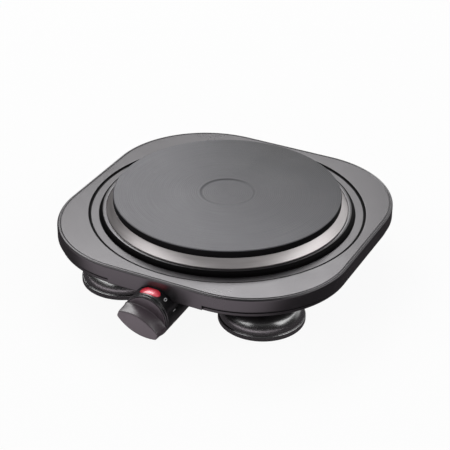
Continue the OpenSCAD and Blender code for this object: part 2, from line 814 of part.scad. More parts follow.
housing();
base_cover();
control_pod();
hotplate();
spill_ring();
ceramic_fill();
heating_coils();
element_cover();
plate_stud();
clamp_bridge();
bridge_nut();
plate_terminal();
thermal_cutout();
earth_tag();
heat_shield();
thermostat_body();
thermostat_screws();
thermostat_shaft();
thermostat_cam();
knob();
knob_spring();
lamp_lens();
neon_lamp();
foot(foot_spots[0]);  // foot_front_left
foot(foot_spots[1]);  // foot_front_right
foot(foot_spots[2]);  // foot_rear_left
foot(foot_spots[3]);  // foot_rear_right
pad(foot_spots[0]);  // pad_front_left
pad(foot_spots[1]);  // pad_front_right
pad(foot_spots[2]);  // pad_rear_left
pad(foot_spots[3]);  // pad_rear_right
foot_screws();
base_screws();
pod_screws();
cord_gland();
cord_clamp();
clamp_screws();
terminal_block();
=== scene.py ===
"""Dressed model of a single electric hotplate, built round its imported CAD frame.

Lengths are in metres. The origin is on the standing surface, under the middle of the
object's plan, +Z is up and the knob faces -Y.
"""

import logging
import math
from dataclasses import dataclass, field
from enum import Enum
from typing import Sequence

import bmesh
import bpy
from mathutils import Matrix, Quaternion, Vector


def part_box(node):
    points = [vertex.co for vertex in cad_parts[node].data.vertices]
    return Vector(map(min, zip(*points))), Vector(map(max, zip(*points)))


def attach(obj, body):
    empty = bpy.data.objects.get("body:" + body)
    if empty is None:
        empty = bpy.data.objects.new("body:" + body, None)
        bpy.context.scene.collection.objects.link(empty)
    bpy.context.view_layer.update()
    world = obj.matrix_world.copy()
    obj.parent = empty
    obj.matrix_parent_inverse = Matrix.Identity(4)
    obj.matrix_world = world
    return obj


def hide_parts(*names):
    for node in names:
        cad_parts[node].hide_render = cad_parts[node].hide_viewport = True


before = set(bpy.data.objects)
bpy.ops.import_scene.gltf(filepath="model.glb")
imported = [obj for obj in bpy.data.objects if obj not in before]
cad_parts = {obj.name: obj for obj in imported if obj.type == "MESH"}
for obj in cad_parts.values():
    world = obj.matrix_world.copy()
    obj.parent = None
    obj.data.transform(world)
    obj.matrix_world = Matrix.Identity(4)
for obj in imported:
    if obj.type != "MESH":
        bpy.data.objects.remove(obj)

LOG = logging.getLogger("hotplate")
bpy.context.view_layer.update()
MM = 0.001
FAR = 1.0

Spot = tuple[float, float]
Point = tuple[float, float, float]
Colour = tuple[float, float, float]
Ring = list[Point]
WHITE: Colour = (1.0, 1.0, 1.0)


class Body(Enum):
    """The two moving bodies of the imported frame."""

    BASE = "base"
    CONTROL = "control"


class Slot(Enum):
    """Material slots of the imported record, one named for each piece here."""

    ENAMEL = "enamel"
    BASE = "base"
    POD = "pod"
    CAST_PLATE = "cast_plate"
    STAINLESS = "stainless"
    SCREW_STEEL = "screw_steel"
    KNOB_BLACK = "knob_black"
    LENS_RED = "lens_red"
    FOOT_BLACK = "foot_black"
    RUBBER = "rubber"


# ---------------------------------------------------------------- node trees

FLOAT = "NodeSocketFloat"
VECTOR = "NodeSocketVector"
WHOLE = "NodeSocketInt"
GEOMETRY = "NodeSocketGeometry"
MATERIAL = "NodeSocketMaterial"
OBJECT = "NodeSocketObject"


class Tree:
    """Short writer for a node tree."""

    def __init__(self, nodes: bpy.types.NodeTree) -> None:
        """Keeps the tree to write into.

        Args:
            nodes: The node tree that receives nodes and links.
        """
        self.tree = nodes

    def add(self, kind: str, inputs: dict | None = None, **settings: object) -> bpy.types.Node:
        """Adds one node.

        Args:
            kind: The node's type name.
            inputs: Values or output sockets, by input name or index.
            **settings: Attributes set on the node.

        Returns:
            The new node.
        """
        node = self.tree.nodes.new(kind)
        for name, value in settings.items():
            setattr(node, name, value)
        for key, value in (inputs or {}).items():
            self.put(node.inputs[key], value)
        return node

    def put(self, socket: bpy.types.NodeSocket, value: object) -> None:
        """Links an output to a socket, or sets the socket's own value.

        Args:
            socket: The input to fill.
            value: An output socket, a number, a vector or a colour.
        """
        if isinstance(value, bpy.types.NodeSocket):
            self.tree.links.new(value, socket)
        elif isinstance(value, tuple) and len(value) == 3 and socket.type == "RGBA":
            socket.default_value = (*value, 1.0)
        else:
            socket.default_value = value

    def math(self, operation: str, a: object, b: object = 0.0, c: object = 0.0) -> bpy.types.NodeSocket:
        """Adds a Math node.

        Args:
            operation: The Math node's operation.
            a: First value or socket.
            b: Second value or socket.
            c: Third value or socket.

        Returns:
            The result socket.
        """
        return self.add("ShaderNodeMath", {0: a, 1: b, 2: c}, operation=operation).outputs[0]

    def vector(self, operation: str, a: object, b: object = (0.0, 0.0, 0.0)) -> bpy.types.NodeSocket:
        """Adds a Vector Math node.

        Args:
            operation: The node's operation.
            a: First vector or socket.
            b: Second vector or socket.

        Returns:
            The result, a number for a dot product or a length.
        """
        node = self.add("ShaderNodeVectorMath", {0: a, 1: b}, operation=operation)
        return node.outputs["Value" if operation in ("DOT_PRODUCT", "LENGTH") else "Vector"]

    def place(self, kind: str = "Object") -> bpy.types.NodeSocket:
        """Adds the coordinates of the shaded point, in the object's own frame unless told otherwise."""
        return self.add("ShaderNodeTexCoord").outputs[kind]

    def axes(self, vector: object) -> Sequence[bpy.types.NodeSocket]:
        """Splits a vector into its X, Y and Z."""
        return self.add("ShaderNodeSeparateXYZ", {0: vector}).outputs

    def distance(self, x: object, y: object) -> bpy.types.NodeSocket:
        """Works out how far a flat point lies from the origin."""
        return self.math("SQRT", self.math("ADD", self.math("MULTIPLY", x, x), self.math("MULTIPLY", y, y)))

    def noise(self, vector: object, scale: object, detail: object) -> bpy.types.NodeSocket:
        """Adds a noise texture and returns its value."""
        return self.add("ShaderNodeTexNoise", {"Vector": vector, "Scale": scale, "Detail": detail}).outputs[0]

    def ramp(
        self, value: object, low: float, high: float, to: tuple[float, float] = (0.0, 1.0)
    ) -> bpy.types.NodeSocket:
        """Maps a range of a value to another, clamped.

        Args:
            value: The value to map.
            low: Value that maps to the first target.
            high: Value that maps to the second target.
            to: The two targets.

        Returns:
            The result socket.
        """
        node = self.add("ShaderNodeMapRange", {0: value, 1: low, 2: high, 3: to[0], 4: to[1]})
        node.clamp = True
        return node.outputs[0]

    def mix(self, factor: object, a: object, b: object) -> bpy.types.NodeSocket:
        """Mixes two colours.

        Args:
            factor: Share of the second colour.
            a: First colour or socket.
            b: Second colour or socket.

        Returns:
            The mixed colour socket.
        """
        node = self.add("ShaderNodeMix", data_type="RGBA", clamp_factor=True)
        self.put(node.inputs[0], factor)
        self.put(node.inputs[6], a)
        self.put(node.inputs[7], b)
        return node.outputs[2]


def new_group(
    name: str, kind: str, inputs: Sequence[tuple], outputs: Sequence[tuple]
) -> tuple[Tree, bpy.types.Node, bpy.types.Node]:
    """Makes an empty node group with named sockets.

    Args:
        name: Name of the group.
        kind: Type of the tree.
        inputs: Name, socket type and default of each input.
        outputs: Name and socket type of each output.

    Returns:
        The tree writer, the group's input node and its output node.
    """
    group = bpy.data.node_groups.new(name, kind)
    for label, socket, default in inputs:
        made = group.interface.new_socket(name=label, in_out="INPUT", socket_type=socket)
        if default is not None:
            made.default_value = default
    for label, socket in outputs:
        group.interface.new_socket(name=label, in_out="OUTPUT", socket_type=socket)
    tree = Tree(group)
    return tree, tree.add("NodeGroupInput"), tree.add("NodeGroupOutput")


class Effects:
    """Shader node groups that several finishes share."""

    def __init__(self) -> None:
        """Builds every group once."""
        self.grain = self._grain()
        self.turning = self._turning()
        self.dust = self._dust()
        self.edges = self._edges()
        self.band = self._band()

    @staticmethod
    def _grain() -> bpy.types.NodeTree:
        """Fine grain of a sprayed or moulded surface, with slow blotches under it.

        Returns:
            The node group.
        """
        tree, given, out = new_group(
            "surface_grain", "ShaderNodeTree",
            [("Grain size", FLOAT, 0.0004), ("Blotch size", FLOAT, 0.03), ("Detail", FLOAT, 3.0)],
            [("Grain", FLOAT), ("Blotch", FLOAT)],
        )
        place = tree.place()
        for label, size in (("Grain", "Grain size"), ("Blotch", "Blotch size")):
            scale = tree.math("DIVIDE", 1.0, given.outputs[size])
            noise = tree.noise(place, scale, given.outputs["Detail"])
            tree.put(out.inputs[label], tree.ramp(noise, 0.3, 0.7))
        return tree.tree

    @staticmethod
    def _turning() -> bpy.types.NodeTree:
        """Marks that run round a vertical axis, as a lathe or a polishing wheel leaves them.

        Returns:
            The node group.
        """
        tree, given, out = new_group(
            "turning_marks", "ShaderNodeTree",
            [
                ("Axis Y", FLOAT, 0.0), ("Mark size", FLOAT, 0.0003),
                ("Arc length", FLOAT, 0.35), ("Height share", FLOAT, 1.0),
            ],
            [("Marks", FLOAT), ("Arcs", FLOAT)],
        )
        sizes = given.outputs
        x, y, height = tree.axes(tree.place())
        y = tree.math("SUBTRACT", y, sizes["Axis Y"])
        along = tree.math("MULTIPLY_ADD", height, sizes["Height share"], tree.distance(x, y))
        fine = tree.math("DIVIDE", along, sizes["Mark size"])
        turn = tree.math("DIVIDE", tree.math("ARCTAN2", y, x), sizes["Arc length"])
        narrow = {"W": fine, "Scale": 1.0, "Detail": 2.0}
        marks = tree.add("ShaderNodeTexNoise", narrow, noise_dimensions="1D")
        pair = {0: tree.math("MULTIPLY", fine, 0.35), 1: turn}
        both = tree.add("ShaderNodeCombineXYZ", pair).outputs[0]
        wide = {"Vector": both, "Scale": 1.0, "Detail": 3.0}
        arcs = tree.add("ShaderNodeTexNoise", wide, noise_dimensions="2D")
        tree.put(out.inputs["Marks"], tree.ramp(marks.outputs[0], 0.25, 0.75))
        tree.put(out.inputs["Arcs"], tree.ramp(arcs.outputs[0], 0.3, 0.7))
        return tree.tree

    @staticmethod
    def _dust() -> bpy.types.NodeTree:
        """Thin patchy dust that settles on faces that look up.

        Returns:
            The node group.
        """
        tree, given, out = new_group(
            "settled_dust", "ShaderNodeTree",
            [("Amount", FLOAT, 0.2), ("Patch size", FLOAT, 0.02)],
            [("Dust", FLOAT)],
        )
        specks = 2.6 / MM
        up = tree.axes(tree.add("ShaderNodeNewGeometry").outputs["Normal"])[2]
        place = tree.place()
        patch = tree.noise(place, tree.math("DIVIDE", 1.0, given.outputs["Patch size"]), 6.0)
        speck = tree.noise(place, specks, 1.0)
        mask = tree.math("MULTIPLY", tree.ramp(patch, 0.4, 0.75), tree.ramp(speck, 0.42, 0.7))
        mask = tree.math("MULTIPLY", mask, tree.ramp(up, 0.5, 1.0))
        tree.put(out.inputs["Dust"], tree.math("MULTIPLY", mask, given.outputs["Amount"]))
        return tree.tree

    @staticmethod
    def _edges() -> bpy.types.NodeTree:
        """Mask of rubbed edges, broken up by noise, with a softened normal.

        Returns:
            The node group.
        """
        tree, given, out = new_group(
            "rubbed_edges", "ShaderNodeTree",
            [("Radius", FLOAT, 0.0004), ("Amount", FLOAT, 0.5)],
            [("Edge", FLOAT), ("Normal", VECTOR)],
        )
        chips = 0.7 / MM
        soft = tree.add("ShaderNodeBevel", {"Radius": given.outputs["Radius"]}, samples=4).outputs[0]
        true = tree.add("ShaderNodeNewGeometry").outputs["Normal"]
        edge = tree.ramp(tree.vector("DOT_PRODUCT", soft, true), 0.995, 0.8)
        chip = tree.noise(tree.place(), chips, 4.0)
        edge = tree.math("MULTIPLY", edge, tree.ramp(chip, 0.35, 0.6))
        tree.put(out.inputs["Edge"], tree.math("MULTIPLY", edge, given.outputs["Amount"]))
        tree.put(out.inputs["Normal"], soft)
        return tree.tree

    @staticmethod
    def _band() -> bpy.types.NodeTree:
        """Mask of a band round a vertical axis, or above a height.

        Returns:
            The node group.
        """
        tree, given, out = new_group(
            "round_band", "ShaderNodeTree",
            [
                ("Axis Y", FLOAT, 0.0), ("Inner", FLOAT, 0.1), ("Outer", FLOAT, 0.1),
                ("Height", FLOAT, 1.0), ("Soft", FLOAT, 0.0004),
            ],
            [("Band", FLOAT)],
        )
        sizes = given.outputs
        x, y, height = tree.axes(tree.place())
        radius = tree.distance(x, tree.math("SUBTRACT", y, sizes["Axis Y"]))
        limits = ((radius, sizes["Inner"]), (sizes["Outer"], radius), (height, sizes["Height"]))
        past = [tree.math("DIVIDE", tree.math("SUBTRACT", a, b), sizes["Soft"]) for a, b in limits]
        inside, before, above = [tree.ramp(share, 0.0, 1.0) for share in past]
        tree.put(out.inputs["Band"], tree.math("MAXIMUM", tree.math("MULTIPLY", inside, before), above))
        return tree.tree


EFFECTS = Effects()


class Shading(Tree):
    """Writer of one material round a Principled BSDF."""

    def __init__(self, name: str, **plain: object) -> None:
        """Starts a material.

        Args:
            name: Name of the material.
            **plain: Values set on the shader's own sockets, with _ for a space.
        """
        self.material = bpy.data.materials.new(name)
        self.material.use_nodes = True
        super().__init__(self.material.node_tree)
        self.tree.nodes.clear()
        self.shader = self.add("ShaderNodeBsdfPrincipled")
        out = self.add("ShaderNodeOutputMaterial")
        self.put(out.inputs["Surface"], self.shader.outputs[0])
        self.set(**plain)

    def set(self, **values: object) -> None:
        """Fills sockets of the shader.

        Args:
            **values: Values or sockets, with _ for a space in the name.
        """
        for name, value in values.items():
            self.put(self.shader.inputs[name.replace("_", " ")], value)

    def group(self, group: bpy.types.NodeTree, **inputs: object) -> bpy.types.Node:
        """Places a shared group.

        Args:
            group: The node group.
            **inputs: Values by input name, with _ for a space.

        Returns:
            The group node.
        """
        node = self.add("ShaderNodeGroup", node_tree=group)
        for name, value in inputs.items():
            self.put(node.inputs[name.replace("_", " ")], value)
        return node

    def bump(
        self, height: object, depth: float, strength: float = 1.0, under: object = None
    ) -> bpy.types.NodeSocket:
        """Adds a Bump node.

        Args:
            height: Height mask from 0 to 1.
            depth: Depth that the mask stands for, in metres.
            strength: Strength of the bump.
            under: Normal that the bump is laid on.

        Returns:
            The normal socket.
        """
        node = self.add("ShaderNodeBump", {"Height": height, "Distance": depth, "Strength": strength})
        if under is not None:
            self.put(node.inputs["Normal"], under)
        return node.outputs[0]


# ---------------------------------------------------------------- finishes


def shade(colour: Colour, share: float) -> Colour:
    """Darkens or lightens a colour.

    Args:
        colour: The colour.
        share: Share of the colour that is kept.

    Returns:
        The new colour, at most plain white.
    """
    return tuple(min(1.0, share * part) for part in colour)


@dataclass(frozen=True)
class Finish:
    """A finish that builds its own material.

    Attributes:
        name: Name of the material.
    """

    name: str

    def material(self) -> bpy.types.Material:
        """Returns the finish's material, built once."""
        known = bpy.data.materials.get(self.name)
        return known if known else self.build()

    def build(self) -> bpy.types.Material:
        """Builds the material. Each kind of finish has its own."""
        raise NotImplementedError


@dataclass(frozen=True)
class SprayedPaint(Finish):
    """Satin stoving paint on pressed steel, with a fine orange-peel grain.

    Attributes:
        base: Colour of the paint.
        worn: Colour where an edge is rubbed thin.
        rough: Roughness of the sheen.
        grain: Size of the grain.
        depth: Depth of the grain.
        dusty: Amount of settled dust.
        wear: Amount of rubbing on edges.
        sheen: Strength of the reflection.
        axis_y: Y of the plate's axis.
        sooty: Inner and outer radius of each band of painted shade round that axis, where the paint turns
            darker and loses most of its reflection.
        above: Height above which the paint gets the same painted shade.
    """

    base: Colour = (0.010, 0.009, 0.010)
    worn: Colour = (0.06, 0.056, 0.06)
    rough: float = 0.3
    grain: float = 0.55 * MM
    depth: float = 0.012 * MM
    dusty: float = 0.03
    wear: float = 0.15
    sheen: float = 1.0
    axis_y: float = 0.0
    sooty: tuple[tuple[float, float], ...] = ()
    above: float = FAR

    def build(self) -> bpy.types.Material:
        """Builds the paint.

        Returns:
            The material.
        """
        mat = Shading(self.name, Specular_Tint=(1.0, 0.96, 1.0))
        grain = mat.group(EFFECTS.grain, Grain_size=self.grain, Blotch_size=0.035)
        edge = mat.group(EFFECTS.edges, Radius=0.12 * MM, Amount=self.wear)
        dust = mat.group(EFFECTS.dust, Amount=self.dusty, Patch_size=0.03)
        colour = mat.mix(grain.outputs["Blotch"], shade(self.base, 0.88), shade(self.base, 1.12))
        colour = mat.mix(edge.outputs["Edge"], colour, self.worn)
        colour = mat.mix(dust.outputs["Dust"], colour, (0.42, 0.40, 0.38))
        rough = mat.ramp(grain.outputs["Blotch"], 0.0, 1.0, (self.rough - 0.03, self.rough + 0.03))
        rough = mat.math("MULTIPLY_ADD", dust.outputs["Dust"], 0.4, rough)
        normal = mat.bump(grain.outputs["Grain"], self.depth, 0.6, edge.outputs["Normal"])
        # Painted shade: inside each ring round the axis, and above a height, the paint turns darker and
        # rougher and loses most of its reflection.
        band = 0.0
        for inner, outer in self.sooty or ((FAR, FAR),):
            ring = mat.group(EFFECTS.band, Axis_Y=self.axis_y, Inner=inner, Outer=outer, Height=self.above)
            band = mat.math("MAXIMUM", band, ring.outputs["Band"])
        colour = mat.mix(band, colour, shade(self.base, 0.3))
        rough = mat.math("MULTIPLY_ADD", band, 0.25, rough)
        sheen = mat.ramp(band, 0.0, 1.0, (self.sheen, 0.04))
        mat.set(Base_Color=colour, Roughness=rough, Normal=normal, Specular_IOR_Level=sheen)
        return mat.material


@dataclass(frozen=True)
class Moulding(Finish):
    """Moulded phenolic or plastic, from glossy to finely spark-eroded.

    Attributes:
        base: Colour of the moulding.
        rough: Roughness of the surface.
        texture: Size of the mould's texture.
        depth: Depth of the mould's texture.
        coat: Weight of a clear glossy skin.
        wear: Amount of shine and rub on edges.
        dusty: Amount of settled dust.
        sheen: Strength of the reflection.
        index: Index of refraction.
    """

    base: Colour = (0.02, 0.02, 0.021)
    rough: float = 0.4
    texture: float = 0.35 * MM
    depth: float = 0.01 * MM
    coat: float = 0.0
    wear: float = 0.35
    dusty: float = 0.05
    sheen: float = 0.5
    index: float = 1.5

    def build(self) -> bpy.types.Material:
        """Builds the moulding.

        Returns:
            The material.
        """
        mat = Shading(
            self.name, IOR=self.index, Coat_Weight=self.coat, Coat_Roughness=0.18,
            Specular_IOR_Level=self.sheen,
        )
        grain = mat.group(EFFECTS.grain, Grain_size=self.texture, Blotch_size=0.02)
        edge = mat.group(EFFECTS.edges, Radius=0.06 * MM, Amount=self.wear)
        dust = mat.group(EFFECTS.dust, Amount=self.dusty, Patch_size=0.015)
        rubbed = tuple(0.04 + 1.6 * c for c in self.base)
        colour = mat.mix(grain.outputs["Blotch"], shade(self.base, 0.85), shade(self.base, 1.15))
        colour = mat.mix(edge.outputs["Edge"], colour, rubbed)
        colour = mat.mix(dust.outputs["Dust"], colour, (0.4, 0.39, 0.37))
        rough = mat.ramp(grain.outputs["Grain"], 0.0, 1.0, (self.rough - 0.008, self.rough + 0.01))
        normal = mat.bump(grain.outputs["Grain"], self.depth, 0.6, edge.outputs["Normal"])
        mat.set(Base_Color=colour, Roughness=rough, Normal=normal)
        return mat.material


@dataclass(frozen=True)
class TurnedIron(Finish):
    """Cast iron, turned on its face and blackened, with painted shade that darkens its face towards one side.

    Attributes:
        base: Colour of the blackened iron.
        bright: Colour of the ridges where the blacking is rubbed.
        axis_y: Y of the turning axis.
        rough: Roughness of the face.
        pale_side: Direction, across the face, of its side with the least painted shade.
        burnt_from: Where along that direction the painted shade starts and ends.
        ends: Share by which the left and right ends get less painted shade.
        sheen: Strength of the reflection where the face is plain and where it has painted shade.
    """

    base: Colour = (0.076, 0.074, 0.085)
    bright: Colour = (0.097, 0.095, 0.107)
    axis_y: float = 0.0
    rough: float = 0.48
    pale_side: Point = (-0.55, -0.83, 0.0)
    burnt_from: tuple[float, float] = (0.04, -0.08)
    ends: float = 0.4
    sheen: tuple[float, float] = (0.75, 0.36)

    def build(self) -> bpy.types.Material:
        """Builds the turned iron.

        Returns:
            The material.
        """
        mat = Shading(self.name, Metallic=0.15)
        axis, size = self.axis_y, 0.3 * MM
        marks = mat.group(EFFECTS.turning, Axis_Y=axis, Mark_size=size, Arc_length=0.9, Height_share=0.0)
        grain = mat.group(EFFECTS.grain, Grain_size=0.5 * MM, Blotch_size=0.03)
        edge = mat.group(EFFECTS.edges, Radius=0.25 * MM, Amount=0.6)
        dust = mat.group(EFFECTS.dust, Amount=0.1, Patch_size=0.04)
        up = mat.axes(mat.add("ShaderNodeNewGeometry").outputs["Normal"])[2]
        face = mat.ramp(up, 0.3, 0.8)
        tone = mat.mix(marks.outputs["Arcs"], self.base, self.bright)
        tone = mat.mix(mat.math("MULTIPLY", grain.outputs["Blotch"], 0.2), tone, shade(self.base, 0.8))
        # Painted shade: the face gets darker and less glossy away from its lit side, less so at its left and
        # right ends.
        place = mat.place()
        across = mat.vector("DOT_PRODUCT", place, self.pale_side)
        side = mat.math("ABSOLUTE", mat.axes(place)[0])
        painted_shade = mat.ramp(mat.math("MULTIPLY_ADD", side, self.ends, across), *self.burnt_from)
        tone = mat.mix(painted_shade, tone, shade(self.base, 0.4))
        sheen = mat.ramp(painted_shade, 0.0, 1.0, self.sheen)
        sheen = mat.math("MULTIPLY", sheen, mat.ramp(face, 0.0, 1.0, (0.15, 1.0)))
        colour = mat.mix(face, (0.006, 0.006, 0.0065), tone)
        colour = mat.mix(edge.outputs["Edge"], colour, (0.3, 0.3, 0.31))
        colour = mat.mix(dust.outputs["Dust"], colour, (0.4, 0.39, 0.38))
        rough = mat.ramp(marks.outputs["Marks"], 0.0, 1.0, (self.rough - 0.03, self.rough + 0.04))
        normal = mat.bump(marks.outputs["Marks"], 0.006 * MM, 0.4, edge.outputs["Normal"])
        normal = mat.bump(grain.outputs["Grain"], 0.006 * MM, 0.3, normal)
        mat.set(Base_Color=colour, Roughness=rough, Normal=normal, Specular_IOR_Level=sheen)
        return mat.material


@dataclass(frozen=True)
class PolishedSteel(Finish):
    """Stainless sheet, spun and brushed round its axis.

    Attributes:
        base: Colour of the metal.
        axis_y: Y of the spinning axis.
        rough: Roughness of the brushed surface.
        spread: Stretch of the highlight along the brushing.
    """

    base: Colour = (0.55, 0.52, 0.52)
    axis_y: float = 0.0
    rough: float = 0.3
    spread: float = 0.5

    def build(self) -> bpy.types.Material:
        """Builds the brushed steel.

        Returns:
            The material.
        """
        mat = Shading(self.name, Metallic=0.8, Anisotropic=self.spread)
        axis, size = self.axis_y, 0.12 * MM
        marks = mat.group(EFFECTS.turning, Axis_Y=axis, Mark_size=size, Arc_length=0.3, Height_share=1.0)
        tint = mat.group(EFFECTS.grain, Grain_size=1.5 * MM, Blotch_size=0.04)
        colour = mat.mix(marks.outputs["Arcs"], shade(self.base, 0.9), self.base)
        colour = mat.mix(mat.math("MULTIPLY", tint.outputs["Blotch"], 0.25), colour, shade(self.base, 0.85))
        rough = mat.ramp(marks.outputs["Arcs"], 0.0, 1.0, (self.rough, self.rough + 0.08))
        normal = mat.bump(marks.outputs["Marks"], 0.004 * MM, 0.4)
        along = mat.add("ShaderNodeTangent", direction_type="RADIAL", axis="Z")
        mat.set(Base_Color=colour, Roughness=rough, Normal=normal, Tangent=along.outputs[0])
        return mat.material


@dataclass(frozen=True)
class PlatedMetal(Finish):
    """Plated or plain metal of an inner piece or a fastener.

    Attributes:
        base: Colour of the metal.
        dull: Colour where it is stained.
        rough: Roughness.
        grain: Size of the spangle or the drawing marks.
    """

    base: Colour = (0.6, 0.61, 0.63)
    dull: Colour = (0.38, 0.39, 0.4)
    rough: float = 0.3
    grain: float = 0.8 * MM

    def build(self) -> bpy.types.Material:
        """Builds the metal.

        Returns:
            The material.
        """
        mat = Shading(self.name, Metallic=1.0)
        grain = mat.group(EFFECTS.grain, Grain_size=self.grain, Blotch_size=0.012)
        edge = mat.group(EFFECTS.edges, Radius=0.2 * MM, Amount=0.4)
        colour = mat.mix(mat.math("MULTIPLY", grain.outputs["Blotch"], 0.6), self.base, self.dull)
        colour = mat.mix(edge.outputs["Edge"], colour, shade(self.base, 1.25))
        rough = mat.ramp(grain.outputs["Grain"], 0.0, 1.0, (self.rough, self.rough + 0.15))
        normal = mat.bump(grain.outputs["Grain"], 0.006 * MM, 0.4, edge.outputs["Normal"])
        mat.set(Base_Color=colour, Roughness=rough, Normal=normal)
        return mat.material


@dataclass(frozen=True)
class FiredCeramic(Finish):
    """Fired ceramic, chalky and slightly pitted.

    Attributes:
        base: Colour of the body.
        stain: Colour of the darker patches.
        rough: Roughness.
    """

    base: Colour = (0.72, 0.68, 0.6)
    stain: Colour = (0.5, 0.45, 0.38)
    rough: float = 0.75

    def build(self) -> bpy.types.Material:
        """Builds the ceramic.

        Returns:
            The material.
        """
        mat = Shading(self.name, Specular_IOR_Level=0.4)
        grain = mat.group(EFFECTS.grain, Grain_size=0.7 * MM, Blotch_size=0.01)
        colour = mat.mix(mat.math("MULTIPLY", grain.outputs["Blotch"], 0.4), self.base, self.stain)
        normal = mat.bump(grain.outputs["Grain"], 0.05 * MM, 0.5)
        rough = mat.ramp(grain.outputs["Grain"], 0.0, 1.0, (self.rough, self.rough + 0.1))
        mat.set(Base_Color=colour, Roughness=rough, Normal=normal)
        return mat.material


@dataclass(frozen=True)
class LitLens(Finish):
    """Red translucent lens with the lamp's glow inside it.

    Attributes:
        base: Colour of the lens.
        glow: Colour of the lit middle.
        centre: Point that the glow spreads from.
        reach: Radius of the glow.
        squeeze: How much faster the glow falls off along X, Y and Z.
        strength: Strength of the glow.
    """

    base: Colour = (0.62, 0.008, 0.03)
    glow: Colour = (1.0, 0.24, 0.3)
    centre: Point = (0.0, 0.0, 0.0)
    reach: float = 6.2 * MM
    squeeze: Point = (0.55, 1.0, 0.6)
    strength: float = 0.28

    def build(self) -> bpy.types.Material:
        """Builds the lens.

        Returns:
            The material.
        """
        mat = Shading(
            self.name, IOR=1.49, Coat_Weight=0.6, Coat_Roughness=0.08, Roughness=0.28,
            Emission_Strength=self.strength,
        )
        away = mat.vector("SUBTRACT", mat.place(), self.centre)
        far = mat.vector("LENGTH", mat.vector("MULTIPLY", away, self.squeeze))
        near = mat.ramp(far, self.reach, 0.0)
        near = mat.math("MULTIPLY", near, near)
        grain = mat.group(EFFECTS.grain, Grain_size=0.9 * MM, Blotch_size=0.004)
        rim = mat.mix(grain.outputs["Blotch"], shade(self.base, 0.85), self.base)
        colour = mat.mix(near, rim, self.glow)
        light = mat.mix(near, shade(self.base, 0.5), self.glow)
        normal = mat.bump(grain.outputs["Grain"], 0.01 * MM, 0.2)
        mat.set(Base_Color=colour, Emission_Color=light, Normal=normal)
        return mat.material


POD_PLASTIC = Moulding("pod_phenolic", base=(0.006, 0.006, 0.007), rough=0.3, sheen=0.8)
KNOB_PLASTIC = Moulding("knob_phenolic", base=(0.066, 0.05, 0.06), rough=0.34, depth=0.006 * MM, sheen=1.0)
FOOT_PLASTIC = Moulding(
    "foot_phenolic", base=(0.006, 0.006, 0.007), rough=0.26, depth=0.0001 * MM, coat=1.0, wear=0.1, dusty=0.0,
    sheen=1.0, index=2.3,
)
RUBBER = Moulding(
    "pad_rubber", base=(0.03, 0.03, 0.03), rough=0.75, texture=0.6 * MM, depth=0.03 * MM, wear=0.2
)
SCREW_STEEL = PlatedMetal("plated_screw")
ZINC = PlatedMetal("zinc_sheet", grain=2.5 * MM, rough=0.38)
BRIGHT = PlatedMetal(
    "bright_sheet", base=(0.75, 0.76, 0.77), dull=(0.6, 0.61, 0.62), rough=0.22, grain=1.2 * MM
)
BRASS = PlatedMetal("brass", base=(0.75, 0.56, 0.25), dull=(0.5, 0.36, 0.16), rough=0.32)
WIRE = PlatedMetal(
    "resistance_wire", base=(0.3, 0.27, 0.25), dull=(0.16, 0.14, 0.13), rough=0.55, grain=0.4 * MM
)
CERAMIC = FiredCeramic("fired_ceramic")
PRINT = SprayedPaint(
    "dial_print", base=(0.75, 0.75, 0.76), worn=(0.6, 0.6, 0.6), rough=0.55, dusty=0.0, wear=0.0
)
NEON = LitLens("neon_bulb", base=(0.6, 0.2, 0.1), glow=(1.0, 0.4, 0.15), reach=20 * MM)


# ---------------------------------------------------------------- mesh tools


def circle_points(radius: float, height: float, axis: Spot, steps: int) -> Ring:
    """Points on a level circle.

    Args:
        radius: Radius of the circle.
        height: Z of the circle.
        axis: X and Y of its middle.
        steps: Number of points.

    Returns:
        The points, counter-clockwise.
    """
    turns = [i * 2 * math.pi / steps for i in range(steps)]
    return [(axis[0] + radius * math.cos(turn), axis[1] + radius * math.sin(turn), height) for turn in turns]


def arc(centre: Spot, radius: float, start: float, end: float, steps: int) -> list[Spot]:
    """Points on a flat arc.

    Args:
        centre: Centre of the arc.
        radius: Radius of the arc.
        start: First angle in degrees.
        end: Last angle in degrees.
        steps: Number of spans.

    Returns:
        The points from start to end.
    """
    angles = [math.radians(start + (end - start) * i / steps) for i in range(steps + 1)]
    return [(centre[0] + radius * math.cos(a), centre[1] + radius * math.sin(a)) for a in angles]


def loft(
    rings: Sequence[Ring], closed: bool, start_pole: Point | None = None, end_pole: Point | None = None
) -> bmesh.types.BMesh:
    """Joins rings of equal length into one surface.

    Args:
        rings: The rings in order.
        closed: Whether the last ring joins the first.
        start_pole: Point that closes the first ring.
        end_pole: Point that closes the last ring.

    Returns:
        The mesh, with its faces pointing outwards.
    """
    mesh = bmesh.new()
    rows = [[mesh.verts.new(p) for p in ring] for ring in rings]
    count = len(rows[0])
    spans = list(zip(rows, rows[1:] + rows[:1])) if closed else list(zip(rows, rows[1:]))
    for low, high in spans:
        for i in range(count):
            j = (i + 1) % count
            mesh.faces.new((low[i], low[j], high[j], high[i]))
    for pole, row in ((start_pole, rows[0]), (end_pole, rows[-1])):
        if pole is not None:
            tip = mesh.verts.new(pole)
            for i in range(count):
                mesh.faces.new((row[i], row[(i + 1) % count], tip))
    bmesh.ops.remove_doubles(mesh, verts=mesh.verts, dist=1e-7)
    bmesh.ops.recalc_face_normals(mesh, faces=mesh.faces)
    return mesh


